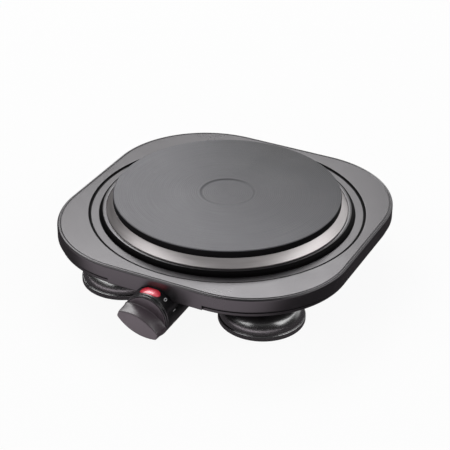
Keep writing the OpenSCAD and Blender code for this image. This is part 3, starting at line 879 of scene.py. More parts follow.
def revolve(
    profile: Sequence[Spot], steps: int, axis: Spot = (0.0, 0.0), closed: bool = False
) -> bmesh.types.BMesh:
    """Turns a profile round a vertical axis.

    Args:
        profile: Radius and height of each point. Radius 0 at an end makes a pole.
        steps: Number of spans round the axis.
        axis: X and Y of the axis.
        closed: Whether the profile is a closed loop.

    Returns:
        The mesh.
    """
    points = list(profile)
    start = end = None
    if points[0][0] == 0:
        start = (axis[0], axis[1], points.pop(0)[1])
    if points[-1][0] == 0:
        end = (axis[0], axis[1], points.pop()[1])
    rings = [circle_points(radius, height, axis, steps) for radius, height in points]
    return loft(rings, closed, start, end)


def link(name: str, data: bpy.types.ID) -> bpy.types.Object:
    """Makes an object of some data and links it to the scene.

    Args:
        name: Name of the object.
        data: Its mesh, curve, lamp or camera.

    Returns:
        The new object.
    """
    obj = bpy.data.objects.new(name, data)
    bpy.context.scene.collection.objects.link(obj)
    return obj


def soften(data: bpy.types.Mesh, smooth: float) -> None:
    """Shades a mesh smooth, but keeps its edges above an angle sharp.

    Args:
        data: The mesh.
        smooth: Angle in degrees under which edges look rounded.
    """
    data.shade_smooth()
    data.set_sharp_from_angle(angle=math.radians(smooth))


def add_part(whole: bmesh.types.BMesh, part: bmesh.types.BMesh) -> None:
    """Adds one mesh to another.

    Args:
        whole: The mesh that grows.
        part: The mesh that is added, which is freed.
    """
    data = bpy.data.meshes.new("part")
    part.to_mesh(data)
    part.free()
    whole.from_mesh(data)
    bpy.data.meshes.remove(data)


def piece(name: str, mesh: bmesh.types.BMesh, finish: Finish, smooth: float = 32.0) -> bpy.types.Object:
    """Makes an object from a mesh and dresses it.

    Args:
        name: Name of the piece.
        mesh: The mesh, which is freed.
        finish: The finish of the piece.
        smooth: Angle in degrees under which edges look rounded.

    Returns:
        The new object.
    """
    data = bpy.data.meshes.new(name)
    mesh.to_mesh(data)
    mesh.free()
    soften(data, smooth)
    data.materials.append(finish.material())
    return link(name, data)


def lay_down(y: float, z: float, angle: float) -> Matrix:
    """Lays an upright mesh on its side and moves it to a place in the middle plane.

    Args:
        y: Y of the place.
        z: Z of the place.
        angle: Turn about X in degrees.

    Returns:
        The transform.
    """
    return Matrix.Translation((0.0, y, z)) @ Matrix.Rotation(math.radians(angle), 4, "X")


def seat(obj: bpy.types.Object, body: Body, slot: Slot, *nodes: str) -> None:
    """Fixes a finished piece to its body.

    Args:
        obj: The piece.
        body: The body that it rides on.
        slot: Its material slot in the record. Not used.
        *nodes: CAD nodes that it stands for.
    """
    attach(obj, body.value)
    if nodes:
        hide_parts(*nodes)
    faces = len(obj.data.polygons)
    LOG.info("%s: %d faces on %s, for %s", obj.name, faces, body.value, ", ".join(nodes) or "itself")


def evaluated(obj: bpy.types.Object) -> bpy.types.Mesh:
    """Takes the mesh that an object has with its modifiers on.

    Args:
        obj: The object.

    Returns:
        A mesh of its own.
    """
    depsgraph = bpy.context.evaluated_depsgraph_get()
    return bpy.data.meshes.new_from_object(obj.evaluated_get(depsgraph))


def cut(obj: bpy.types.Object, tool: bmesh.types.BMesh, smooth: float = 32.0) -> None:
    """Cuts a closed tool out of a piece.

    Args:
        obj: The piece.
        tool: The cutting mesh, which is freed.
        smooth: Angle in degrees under which edges look rounded.
    """
    data = bpy.data.meshes.new("cutter")
    tool.to_mesh(data)
    tool.free()
    cutter = link("cutter", data)
    step = obj.modifiers.new("cut", "BOOLEAN")
    step.operation = "DIFFERENCE"
    step.solver = "EXACT"
    step.object = cutter
    carved = evaluated(obj)
    obj.modifiers.clear()
    obj.data = carved
    bpy.data.objects.remove(cutter)
    bpy.data.meshes.remove(data)
    obj.data.set_sharp_from_angle(angle=math.radians(smooth))


# ---------------------------------------------------------------- measures from the frame


def span(node: str) -> tuple[Vector, Vector]:
    """Lowest and highest corner of a CAD node, in metres."""
    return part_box(node)


PLATE_LOW, PLATE_HIGH = span("hotplate")
HOUSING_LOW, HOUSING_HIGH = span("housing")
AXIS_Y = (PLATE_LOW.y + PLATE_HIGH.y) / 2
PLATE_R = (PLATE_HIGH.x - PLATE_LOW.x) / 2
FACE_Z = PLATE_HIGH.z
HALF_W = HOUSING_HIGH.x
APRON_Z = HOUSING_LOW.z
BASE_Z = span("base_cover")[0].z
BEAD_Z = HOUSING_HIGH.z
DECK_Z = FACE_Z - 15.2 * MM
POD_RIM_Y = span("control_pod")[0].y
KNOB_BACK_Y = span("knob")[0].y
SHAFT_LOW, SHAFT_HIGH = span("thermostat_shaft")
KNOB_Z = (SHAFT_LOW.z + SHAFT_HIGH.z) / 2


# ---------------------------------------------------------------- geometry node trees


class GeometryTree(Tree):
    """A geometry node tree that is set up by named inputs."""

    def __init__(self, name: str, inputs: Sequence[tuple]) -> None:
        """Starts the tree with a geometry input and output.

        Args:
            name: Name of the tree.
            inputs: Name, socket type and default of each size.
        """
        made, self.given, self.out = new_group(
            name, "GeometryNodeTree", [("Geometry", GEOMETRY, None), *inputs], [("Geometry", GEOMETRY)]
        )
        super().__init__(made.tree)

    def finish(self, geometry: bpy.types.NodeSocket) -> None:
        """Ends the tree in Realize Instances and Set Material.

        Args:
            geometry: The geometry to put out.
        """
        real = self.add("GeometryNodeRealizeInstances", {0: geometry}).outputs[0]
        dressed = self.add("GeometryNodeSetMaterial", {0: real, "Material": self.given.outputs["Material"]})
        self.put(self.out.inputs[0], dressed.outputs[0])


def run_tree(
    name: str, tree: bpy.types.NodeTree, source: bpy.types.Mesh, values: dict[str, object],
    smooth: float = 32.0,
) -> bpy.types.Object:
    """Runs a geometry tree on a mesh and keeps the plain result.

    Args:
        name: Name of the finished piece.
        tree: The geometry node tree.
        source: Mesh that the tree starts from.
        values: Values of the tree's inputs, by name.
        smooth: Angle in degrees under which edges look rounded.

    Returns:
        The finished piece.
    """
    seed = link(name + "_seed", source)
    step = seed.modifiers.new("build", "NODES")
    step.node_group = tree
    for item in tree.interface.items_tree:
        if item.item_type == "SOCKET" and item.in_out == "INPUT" and item.name in values:
            step[item.identifier] = values[item.name]
    seed.update_tag()
    data = evaluated(seed)
    bpy.data.objects.remove(seed)
    data.name = name
    soften(data, smooth)
    return link(name, data)


def scatter_tree() -> bpy.types.NodeTree:
    """Tree that sets one copy of a pattern piece on every point, each with its own turn.

    Returns:
        The geometry node tree.
    """
    tree = GeometryTree("set_on_points", [
        ("Pattern", OBJECT, None), ("Turn step", FLOAT, 0.9), ("Flip", FLOAT, 0.0),
        ("Material", MATERIAL, None),
    ])
    pattern = tree.add("GeometryNodeObjectInfo", {"Object": tree.given.outputs["Pattern"]})
    number = tree.add("GeometryNodeInputIndex").outputs[0]
    turn = tree.math("MULTIPLY", tree.math("ADD", number, 0.4), tree.given.outputs["Turn step"])
    facing = tree.add("ShaderNodeCombineXYZ", {0: tree.given.outputs["Flip"], 2: turn})
    cloud = tree.add("GeometryNodeMeshToPoints", {"Mesh": tree.given.outputs["Geometry"]})
    copies = tree.add("GeometryNodeInstanceOnPoints", {
        "Points": cloud.outputs[0], "Instance": pattern.outputs["Geometry"], "Rotation": facing.outputs[0],
    })
    tree.finish(copies.outputs[0])
    return tree.tree


def turned_face_tree() -> bpy.types.NodeTree:
    """Tree that bends a flat grid into a turned disc with fine concentric grooves.

    The grid's X runs from the inner to the outer radius and its Y once round.

    Returns:
        The geometry node tree.
    """
    tree = GeometryTree("turned_face", [
        ("Inner radius", FLOAT, 0.02), ("Outer radius", FLOAT, 0.09), ("Height", FLOAT, 0.066),
        ("Axis Y", FLOAT, 0.0), ("Pitch", FLOAT, 0.0015), ("Depth", FLOAT, 0.0001),
        ("Rings", WHOLE, 184), ("Turns", WHOLE, 256), ("Material", MATERIAL, None),
    ])
    given = tree.given.outputs
    grid = tree.add("GeometryNodeMeshGrid", {
        "Size X": 1.0, "Size Y": 1.0, "Vertices X": given["Rings"], "Vertices Y": given["Turns"],
    })
    place = tree.axes(tree.add("GeometryNodeInputPosition").outputs[0])
    share = tree.math("ADD", place[0], 0.5)
    width = tree.math("SUBTRACT", given["Outer radius"], given["Inner radius"])
    out = tree.math("MULTIPLY", share, width)
    radius = tree.math("ADD", out, given["Inner radius"])
    angle = tree.math("MULTIPLY", tree.math("ADD", place[1], 0.5), 2 * math.pi)
    wave = tree.math("PINGPONG", tree.math("DIVIDE", out, given["Pitch"]), 0.5)
    dip = tree.math("MULTIPLY", tree.math("MULTIPLY", wave, 2.0), given["Depth"])
    point = tree.add("ShaderNodeCombineXYZ", {
        0: tree.math("MULTIPLY", radius, tree.math("COSINE", angle)),
        1: tree.math("ADD", tree.math("MULTIPLY", radius, tree.math("SINE", angle)), given["Axis Y"]),
        2: tree.math("SUBTRACT", given["Height"], dip),
    })
    bent = tree.add("GeometryNodeSetPosition", {"Geometry": grid.outputs[0], "Position": point.outputs[0]})
    closed = tree.add("GeometryNodeMergeByDistance", {"Geometry": bent.outputs[0], "Distance": 1e-6})
    tree.finish(closed.outputs[0])
    return tree.tree


# ---------------------------------------------------------------- sub-assemblies


@dataclass
class Stations:
    """Points round the body's rounded-square outline, shared by all its rings.

    Attributes:
        half: Half width of the body.
        corner: Corner radius of the body.
        bend: Spans round each corner.
        flat: Spans along each flat side.
        land: Inset of the deck's outer edge, which sets the direction of the round rings.
        spots: Corner's or flat's centre, direction and apron mark of each station.
    """

    half: float
    corner: float
    bend: int = 44
    flat: int = 18
    land: float = 3.0 * MM
    spots: list[tuple[float, float, float, float, bool]] = field(default_factory=list)

    def __post_init__(self) -> None:
        """Lists each station as a centre, a direction and whether the deeper apron hangs there."""
        reach = self.half - self.corner
        for quarter in range(4):
            a0 = math.radians(90 * quarter)
            cos, sin = round(math.cos(a0)), round(math.sin(a0))
            apron = quarter % 2 == 1
            for i in range(self.flat + 1):
                t = -reach + 2 * reach * i / self.flat
                centre = (reach * cos - t * sin, reach * sin + t * cos)
                self.spots.append((*centre, float(cos), float(sin), apron))
            centre = (reach * (cos - sin), reach * (sin + cos))
            for i in range(self.bend + 1):
                a = a0 + math.radians(90 * i / self.bend)
                self.spots.append((*centre, math.cos(a), math.sin(a), False))

    def square(self, inset: float, height: float, apron_height: float | None = None) -> Ring:
        """A ring along the rounded square.

        Args:
            inset: Distance in from the outline.
            height: Z of the ring.
            apron_height: Z of the ring along the front and rear aprons, where it differs.

        Returns:
            The points of the ring.
        """
        d = self.corner - inset
        low = height if apron_height is None else apron_height
        return [(x + d * c, AXIS_Y + y + d * s, low if apron else height) for x, y, c, s, apron in self.spots]

    def round(self, radius: float, height: float) -> Ring:
        """A ring on a circle round the plate's axis, in step with the square rings.

        Args:
            radius: Radius of the circle.
            height: Z of the ring.

        Returns:
            The points of the ring.
        """
        d = self.corner - self.land
        points = []
        for x, y, c, s, _ in self.spots:
            a = math.atan2(y + d * s, x + d * c)
            points.append((radius * math.cos(a), AXIS_Y + radius * math.sin(a), height))
        return points


@dataclass
class Housing:
    """Pressed housing: deck, round well, hollow bead and side wall.

    Attributes:
        corner: Corner radius in plan.
        sheet: Thickness of the sheet.
        groove_w: Width of the shadow groove.
        groove_d: Depth of the shadow groove.
        land_w: Width of the land outside the groove.
        lip_h: Height of the base that shows below the skirt, except under the aprons.
        collar_r: Inner radius of the bead's collar.
        bead_w: Width of the bead.
        bead_h: Height of the bead.
        well_w: Width of the well round the bead.
        well_d: Depth of the well.
        ledge_w: Width of the ledge under the spill ring.
        ledge_drop: Drop from the bead's top to the ledge.
        soft: Rounding inside and outside the bead.
        bend: Radius of the two bends of the well's edge.
        lip: Softening on each side of the shadow groove.
        keep: Flat kept beside each bend, so that the flats shade evenly.
        soot: How far each band of painted shade reaches in and out, at the bead and at the well's edge.
        gap: Clearance round the pod.
        hole_r: Radius of the gland's hole.
    """

    corner: float = 82 * MM
    sheet: float = 1.6 * MM
    groove_w: float = 1.1 * MM
    groove_d: float = 0.45 * MM
    land_w: float = 0.3 * MM
    lip_h: float = 4.5 * MM
    collar_r: float = 98.1 * MM
    bead_w: float = 5.6 * MM
    bead_h: float = 4 * MM
    well_w: float = 8.4 * MM
    well_d: float = 1 * MM
    ledge_w: float = 3.8 * MM
    ledge_drop: float = 1.2 * MM
    soft: float = 0.35 * MM
    bend: float = 1.0 * MM
    lip: float = 0.15 * MM
    keep: float = 0.3 * MM
    soot: tuple[Spot, Spot] = ((3.0 * MM, 0.7 * MM), (2.0 * MM, 0.8 * MM))
    gap: float = 0.3 * MM
    hole_r: float = 5 * MM

    def __post_init__(self) -> None:
        """Works out the bead's and the well's outer radius."""
        self.bead_r = self.collar_r + self.bead_w
        self.well_r = self.bead_r + self.well_w

    def profile(self, path: Stations) -> list[Ring]:
        """Rings of the sheet, from the bead over the deck to the hem and back under it.

        Args:
            path: The stations round the body.

        Returns:
            The rings in order, as a closed loop.
        """
        t, well_z = self.sheet, DECK_Z - self.well_d
        bead_r, well_r, soft, bend, keep = self.bead_r, self.well_r, self.soft, self.bend, self.keep
        bead_c = bead_r - self.bead_h
        ledge_r, ledge_z = self.collar_r - self.ledge_w, BEAD_Z - self.ledge_drop
        lean = math.acos(1 - self.well_d / (2 * bend))
        reach, lean = bend * math.sin(lean), math.degrees(lean)
        inner = [(ledge_r, ledge_z), (self.collar_r, ledge_z)]
        inner += arc((self.collar_r + soft, BEAD_Z - soft), soft, 180, 90, 4)
        inner += arc((bead_c, well_z), self.bead_h, 90, 6, 12)
        inner += arc((bead_r + soft, well_z + soft), soft, 200, 270, 4)
        inner += [(bead_r + soft + keep, well_z), (well_r - reach - keep, well_z)]
        inner += arc((well_r - reach, well_z + bend), bend, 270, 270 + lean, 5)
        inner += arc((well_r + reach, DECK_Z - bend), bend, 90 + lean, 90, 5)
        inner += [(well_r + reach + keep, DECK_Z)]
        rings = [path.round(r, z) for r, z in inner]
        edge = t + self.land_w + self.groove_w + self.lip
        rings.append(path.square(edge + keep, DECK_Z))
        for i in range(9):
            dip = self.groove_d * math.sin(math.pi * i / 8) ** 2
            rings.append(path.square(edge - (self.groove_w + 2 * self.lip) * i / 8, DECK_Z - dip))
        rings += [path.square(-x, z) for x, z in arc((-t, DECK_Z - t), t, 90, 0, 8)]
        rings.append(path.square(0.0, DECK_Z - t - keep))
        half = t / 2
        hem, apron_hem = BASE_Z + self.lip_h + half, APRON_Z + half
        rings.append(path.square(0.0, hem + keep, apron_hem + keep))
        rings += [path.square(-x, hem + z, apron_hem + z) for x, z in arc((-half, 0.0), half, 0, -180, 8)]
        rings.append(path.square(t, DECK_Z - t))
        under = [(well_r + t, DECK_Z - t), (well_r + t, well_z - t)]
        under += [(bead_r - t, well_z - t), (bead_r - t, well_z)]
        under += arc((bead_c, well_z), self.bead_h - t, 20, 90, 5)
        under += [(self.collar_r + t, BEAD_Z - t), (self.collar_r + t, well_z - t)]
        under += [(self.collar_r, well_z - t), (self.collar_r, ledge_z - t), (ledge_r, ledge_z - t)]
        rings += [path.round(r, z) for r, z in under]
        return rings

    def build(self) -> None:
        """Builds the housing with its openings for the pod and the gland."""
        body = loft(self.profile(Stations(HALF_W, self.corner)), closed=True)
        # Painted shade on the bead's outer flank and across the well's edge, where the paint is made dark and
        # dull.
        edges = zip((self.bead_r, self.well_r), self.soot)
        bands = tuple((r - inwards, r + outwards) for r, (inwards, outwards) in edges)
        finish = SprayedPaint("satin_stoving_paint", wear=0.05, dusty=0.01, axis_y=AXIS_Y, sooty=bands)
        obj = piece("housing_shell", body, finish)
        pod = ControlPod()
        ends = [(pod.radius(pod.length) + self.gap, 0), (pod.rim_r + self.gap, pod.length)]
        opening = revolve([(0, 0), *ends, (0, pod.length)], 96)
        opening.transform(lay_down(POD_RIM_Y + pod.length, KNOB_Z, 90))
        cut(obj, opening)
        low, high = span("cord_gland")
        half = 4 * MM
        hole = revolve([(0, -half), (self.hole_r, -half), (self.hole_r, half), (0, half)], 48)
        hole.transform(lay_down(AXIS_Y + HALF_W, (low.z + high.z) / 2, 90))
        cut(obj, hole)
        seat(obj, Body.BASE, Slot.ENAMEL, "housing")


@dataclass
class CastPlate:
    """Cast-iron plate with a finely turned face and a dished middle.

    Attributes:
        recess_r: Radius of the recess.
        recess_d: Depth of the recess.
        slope: Width of the slope round the recess.
        chamfer: Chamfer round the face.
        side: Height of the bare side.
        rebate: Step above the spill ring.
        pitch: Pitch of the turned grooves.
        depth: Depth of the turned grooves.
        dimple: Depth of the middle below the recess.
        soft: Rounding of the edge between face and side.
        turns: Spans round the plate.
    """

    recess_r: float = 22.8 * MM
    recess_d: float = 0.7 * MM
    slope: float = 2.4 * MM
    chamfer: float = 0.8 * MM
    side: float = 5.9 * MM
    rebate: float = 0.8 * MM
    pitch: float = 1.54 * MM
    depth: float = 0.15 * MM
    dimple: float = 0.35 * MM
    soft: float = 0.2 * MM
    turns: int = 288

    def build(self) -> None:
        """Builds the plate from its turned face and its revolved body."""
        tree = turned_face_tree()
        outer = PLATE_R - self.chamfer
        grooves = int((outer - self.recess_r) / self.pitch)
        inner = outer - grooves * self.pitch
        floor_r, floor_z = self.recess_r - self.slope, FACE_Z - self.recess_d
        fine = int(floor_r / self.pitch)
        middle = floor_r - fine * self.pitch
        seed = bpy.data.meshes.new("plate_seed")
        finish = TurnedIron("turned_iron", axis_y=AXIS_Y)
        whole = bmesh.new()
        for name, low_r, high_r, height, count in (
            ("turned_face", inner, outer, FACE_Z, grooves), ("turned_dish", middle, floor_r, floor_z, fine),
        ):
            part = run_tree(name, tree, seed, {
                "Axis Y": AXIS_Y, "Pitch": self.pitch, "Depth": self.depth, "Turns": self.turns + 1,
                "Material": finish.material(), "Inner radius": low_r, "Outer radius": high_r,
                "Height": height, "Rings": count * 4 + 1,
            })
            whole.from_mesh(part.data)
            bpy.data.objects.remove(part)
        edge_z, shoulder_z = FACE_Z - self.chamfer, FACE_Z - self.side
        steps = 8
        slope = []
        for i in range(steps + 1):
            drop = self.recess_d * math.cos(math.pi * i / (2 * steps)) ** 2
            slope.append((floor_r + self.slope * i / steps, FACE_Z - drop))
        bands = [
            [(0, floor_z - self.dimple), (middle, floor_z)],
            [*slope, (inner, FACE_Z)],
            [
                (outer, FACE_Z), (PLATE_R - self.soft, edge_z + 1.5 * self.soft),
                (PLATE_R, edge_z - self.soft), (PLATE_R, shoulder_z), (PLATE_R - self.rebate, shoulder_z),
                (PLATE_R - self.rebate, PLATE_LOW.z), (0, PLATE_LOW.z),
            ],
        ]
        for band in bands:
            add_part(whole, revolve(band, self.turns, (0.0, AXIS_Y)))
        bmesh.ops.remove_doubles(whole, verts=whole.verts, dist=2e-6)
        bmesh.ops.recalc_face_normals(whole, faces=whole.faces)
        seat(piece("cast_plate", whole, finish, 25.0), Body.BASE, Slot.CAST_PLATE, "hotplate")


@dataclass
class SpillRing:
    """Bright stainless ring, a cone from the plate down to the bead.

    Attributes:
        sheet: Thickness of the sheet.
        rise: Height of the cone.
        neck: Height of the collar that grips the plate.
        grip: How far the collar lies inside the plate's radius.
        roll: Rolling of the lower edge.
        turns: Spans round the ring.
    """

    sheet: float = 0.6 * MM
    rise: float = 6.3 * MM
    neck: float = 4 * MM
    grip: float = 0.7 * MM
    roll: float = 0.4 * MM
    turns: int = 256

    def build(self) -> None:
        """Builds the ring as one revolved sheet with rolled edges."""
        low, high = span("spill_ring")
        outer = (high.x - low.x) / 2
        inner = PLATE_R - self.grip
        top, foot = high.z, high.z - self.rise
        t, roll = self.sheet, self.roll
        mouth = inner + t
        profile = [(inner, top - self.neck), (inner, top), (mouth, top), (mouth + 0.25 * MM, top - 0.12 * MM)]
        profile += [(outer - roll, foot + roll * 0.9), (outer - 0.08 * MM, foot + 0.1 * MM)]
        profile += [(outer, foot - 0.15 * MM), (outer, low.z)]
        profile += [(outer - t, low.z), (outer - t, foot - 0.1 * MM)]
        profile += [(mouth, top - t * 1.9), (mouth, top - self.neck)]
        ring = revolve(profile, self.turns, (0.0, AXIS_Y), closed=True)
        finish = PolishedSteel("brushed_stainless", axis_y=AXIS_Y)
        seat(piece("spill_ring_sheet", ring, finish), Body.BASE, Slot.STAINLESS, "spill_ring")


@dataclass
class Foot:
    """One bun foot with its rubber pad.

    Attributes:
        node: Name ending shared by the foot and its pad.
        flange_r: Radius of the flange.
        flange_t: Height of the flange's top above the standing surface.
        bun_r: Radius of the bun.
        step: Step from the flange in to the bun.
        soft: Rounding of the flange's top edge.
        neck_r: Radius of the hollow where the bun meets the body.
        proud: How far the pad stands out.
        pocket_r: Radius of the pocket for the pad.
        pocket_d: Depth of that pocket.
        rib_pitch: Distance from rib to rib of the pad's sole.
        rib_d: Depth of the grooves between the ribs.
        turns: Spans round the foot.
    """

    node: str
    flange_r: float = 34.4 * MM
    flange_t: float = 5.0 * MM
    bun_r: float = 14 * MM
    step: float = 0.9 * MM
    soft: float = 1.0 * MM
    neck_r: float = 1.95 * MM
    proud: float = 0.6 * MM
    pocket_r: float = 31.1 * MM
    pocket_d: float = 1.6 * MM
    rib_pitch: float = 4.2 * MM
    rib_d: float = 0.35 * MM
    turns: int = 128

    def build(self) -> None:
        """Builds the foot's moulding and its pad."""
        low, high = span("foot_" + self.node)
        axis = ((low.x + high.x) / 2, (low.y + high.y) / 2)
        bun_c = self.flange_r - self.step - self.bun_r
        soft, under, neck = self.soft, self.soft / 2, self.neck_r
        profile = [(0, self.proud + self.pocket_d), (self.pocket_r, self.proud + self.pocket_d)]
        profile += [(self.pocket_r, self.proud)]
        profile += arc((self.flange_r - under, self.proud + under), under, 270, 360, 4)
        profile += arc((self.flange_r - soft, self.flange_t - soft), soft, 0, 90, 6)
        profile += [(self.flange_r - self.step - 0.15 * MM, self.flange_t + 0.05 * MM)]
        profile += arc((bun_c, self.flange_t), self.bun_r, 3, 82, 26)
        profile += arc((bun_c + neck, self.flange_t + self.bun_r + neck - 0.05 * MM), neck, 262, 180, 6)
        profile += [(bun_c, high.z), (0, high.z)]
        bun = piece("foot_" + self.node + "_bun", revolve(profile, self.turns, axis), FOOT_PLASTIC)
        seat(bun, Body.BASE, Slot.FOOT_BLACK, "foot_" + self.node)
        self.pad(axis)

    def pad(self, axis: Spot) -> None:
        """Builds the rubber pad with its ribbed sole.

        Args:
            axis: X and Y of the foot's axis.
        """
        low, high = span("pad_" + self.node)
        radius, start, pitch = (high.x - low.x) / 2, 5 * MM, self.rib_pitch
        groove_z, slant, land = low.z + self.rib_d, 0.3 * MM, 2.4 * MM
        sole = [(0, groove_z), (start, groove_z)]
        for i in range(6):
            r = start + i * pitch
            sole += [(r + slant, low.z), (r + land, low.z)]
            sole += [(r + land + slant, groove_z), (r + pitch, groove_z)]
        sole += [(radius - 0.6 * MM, low.z), (radius, low.z + 0.4 * MM)]
        sole += [(radius, high.z - 0.1 * MM), (0, high.z - 0.1 * MM)]
        pad = piece("pad_" + self.node + "_rubber", revolve(sole, 96, axis), RUBBER)
        seat(pad, Body.BASE, Slot.RUBBER, "pad_" + self.node)


# ---------------------------------------------------------------- control pod


def from_front(point: Sequence[float], front_y: float) -> Point:
    """Turns a point seen from the front into the row frame.

    Args:
        point: X right, Y up and Z out of the front, from the control axis.
        front_y: Y in the row frame of the plane Z = 0.

    Returns:
        The point in the row frame.
    """
    return (point[0], front_y - point[2], KNOB_Z + point[1])


def turn_to_front(mesh: bmesh.types.BMesh, front_y: float, angle: float = 0.0) -> bmesh.types.BMesh:
    """Turns a mesh seen from the front into the row frame.

    Args:
        mesh: The mesh, X right, Y up, Z out of the front.
        front_y: Y in the row frame of the plane Z = 0.
        angle: Turn about the control axis, in degrees.

    Returns:
        The same mesh.
    """
    mesh.transform(lay_down(front_y, KNOB_Z, 90) @ Matrix.Rotation(math.radians(angle), 4, "Z"))
    return mesh


@dataclass
class ControlPod:
    """Round pod under the body's front, with its rim, lamp window and ears.

    Attributes:
        rim_r: Radius at the rim.
        taper: How much narrower the rear end is.
        length: Length from rim to rear.
        wall: Wall of the pod.
        recess_r: Radius of the recess for the knob's disc.
        recess_d: Depth of that recess.
        front_wall: Thickness of the front wall.
        bore_r: Radius of the shaft's bore.
        lens_w: Length of the window across the pod.
        lens_l: Width of the window along the pod.
        lens_back: Distance of the window behind the rim.
        ear_x: Distance of each ear's screw from the axis.
        ear_s: Distance of the ears behind the rim.
        ear_r: Radius of an ear.
        ear_t: Thickness of an ear.
        ear_root: Distance from the axis at which the ears start, inside the pod.
        soft: Rounding of the rim.
        rear_r: Rounding of the rear end.
        crease: Angle in degrees above which the pod's edges stay sharp.
    """

    rim_r: float = 18.75 * MM
    taper: float = 0.6 * MM
    length: float = 50 * MM
    wall: float = 2 * MM
    recess_r: float = 17.2 * MM
    recess_d: float = 1.7 * MM
    front_wall: float = 1.8 * MM
    bore_r: float = 3.06 * MM
    lens_w: float = 16.5 * MM
    lens_l: float = 8.4 * MM
    lens_back: float = 4.2 * MM
    ear_x: float = 22 * MM
    ear_s: float = 33 * MM
    ear_r: float = 5 * MM
    ear_t: float = 2.6 * MM
    ear_root: float = 15.2 * MM
    soft: float = 0.8 * MM
    rear_r: float = 4 * MM
    crease: float = 28.0

    def radius(self, depth: float) -> float:
        """Outside radius at a depth behind the rim.

        Args:
            depth: Distance behind the rim.

        Returns:
            The radius.
        """
        return self.rim_r - self.taper * depth / self.length

    def outline(self, grow: float, steps: int = 20) -> list[Spot]:
        """Outline of the lamp window, a slot with round ends.

        Args:
            grow: Gap added all round.
            steps: Spans round each end.

        Returns:
            X and depth behind the rim of each point.
        """
        half = self.lens_l / 2 + grow
        reach = (self.lens_w - self.lens_l) / 2
        middle = self.lens_back + self.lens_l / 2
        right = arc((reach, middle), half, -90, 90, steps)
        left = arc((-reach, middle), half, 90, 270, steps)
        return right + left

    def build(self) -> None:
        """Builds the pod's shell, cuts its window and adds its ears."""
        r, soft, rear, rear_r = self.rim_r, self.soft, self.length, self.rear_r
        end = self.radius(rear)
        profile = [(0, -rear), (end - rear_r, -rear)]
        profile += arc((end - rear_r, -rear + rear_r), rear_r, -80, -8, 8)
        profile += [(self.radius(rear / 2), -rear / 2), (self.radius(2.9 * MM), -2.9 * MM)]
        profile += arc((self.radius(2.4 * MM) - 0.5 * MM, -2.75 * MM), 0.5 * MM, 10, 80, 5)
        profile += [(r - 0.62 * MM, -2.18 * MM), (r - 0.68 * MM, -1.95 * MM), (r - 0.55 * MM, -1.7 * MM)]
        profile += arc((r - 0.45 * MM - soft, -soft), soft, 0, 90, 6)
        profile += [(self.recess_r + 0.2 * MM, 0), (self.recess_r, -0.2 * MM)]
        profile += [(self.recess_r, -self.recess_d), (self.bore_r, -self.recess_d)]
        front = self.recess_d + self.front_wall
        profile += [(self.bore_r, -front), (self.radius(front) - self.wall, -front)]
        profile += [(self.radius(rear - rear_r) - self.wall, -rear + rear_r)]
        profile += [(end - 5 * MM, -rear + self.wall), (0, -rear + self.wall)]
        obj = piece("control_pod_shell", turn_to_front(revolve(profile, 160), POD_RIM_Y), POD_PLASTIC)
        self.cut_window(obj)
        whole = bmesh.new()
        whole.from_mesh(obj.data)
        for side in (-1, 1):
            add_part(whole, self.ear(side))
        whole.to_mesh(obj.data)
        whole.free()
        obj.data.set_sharp_from_angle(angle=math.radians(self.crease))
        seat(obj, Body.BASE, Slot.POD, "control_pod")

    def cut_window(self, obj: bpy.types.Object) -> None:
        """Cuts the lamp window through the top of the shell.

        Args:
            obj: The shell.
        """
        low, high, middle = 12.4 * MM, 24 * MM, -8 * MM
        slot = self.outline(0.15 * MM)
        rings = [[from_front((x, up, -s), POD_RIM_Y) for x, s in slot] for up in (low, high)]
        poles = [from_front((0, up, middle), POD_RIM_Y) for up in (low, high)]
        cut(obj, loft(rings, False, *poles), self.crease)

    def ear(self, side: int) -> bmesh.types.BMesh:
        """One ear with rounded edges.

        Args:
            side: 1 for the right ear, -1 for the left.

        Returns:
            The ear's mesh.
        """
        y, root = POD_RIM_Y + self.ear_s, self.ear_root
        plan = [(root, -self.ear_r), *arc((self.ear_x, 0.0), self.ear_r, -90, 90, 20), (root, self.ear_r)]
        top, bottom = BASE_Z, BASE_Z - self.ear_t
        soft = 0.4 * MM
        levels = ((top, 0.0), (bottom + soft, 0.0), (bottom + 0.1 * MM, 0.25 * soft), (bottom, soft))
        rings = []
        for height, inset in levels:
            ring = []
            for x, s in plan:
                x_in = x - inset if x > root else x
                ring.append((side * x_in, y + s * (1 - inset / self.ear_r), height))
            rings.append(ring)
        middle = (side * 19 * MM, y)
        return loft(rings, False, (*middle, top), (*middle, bottom))


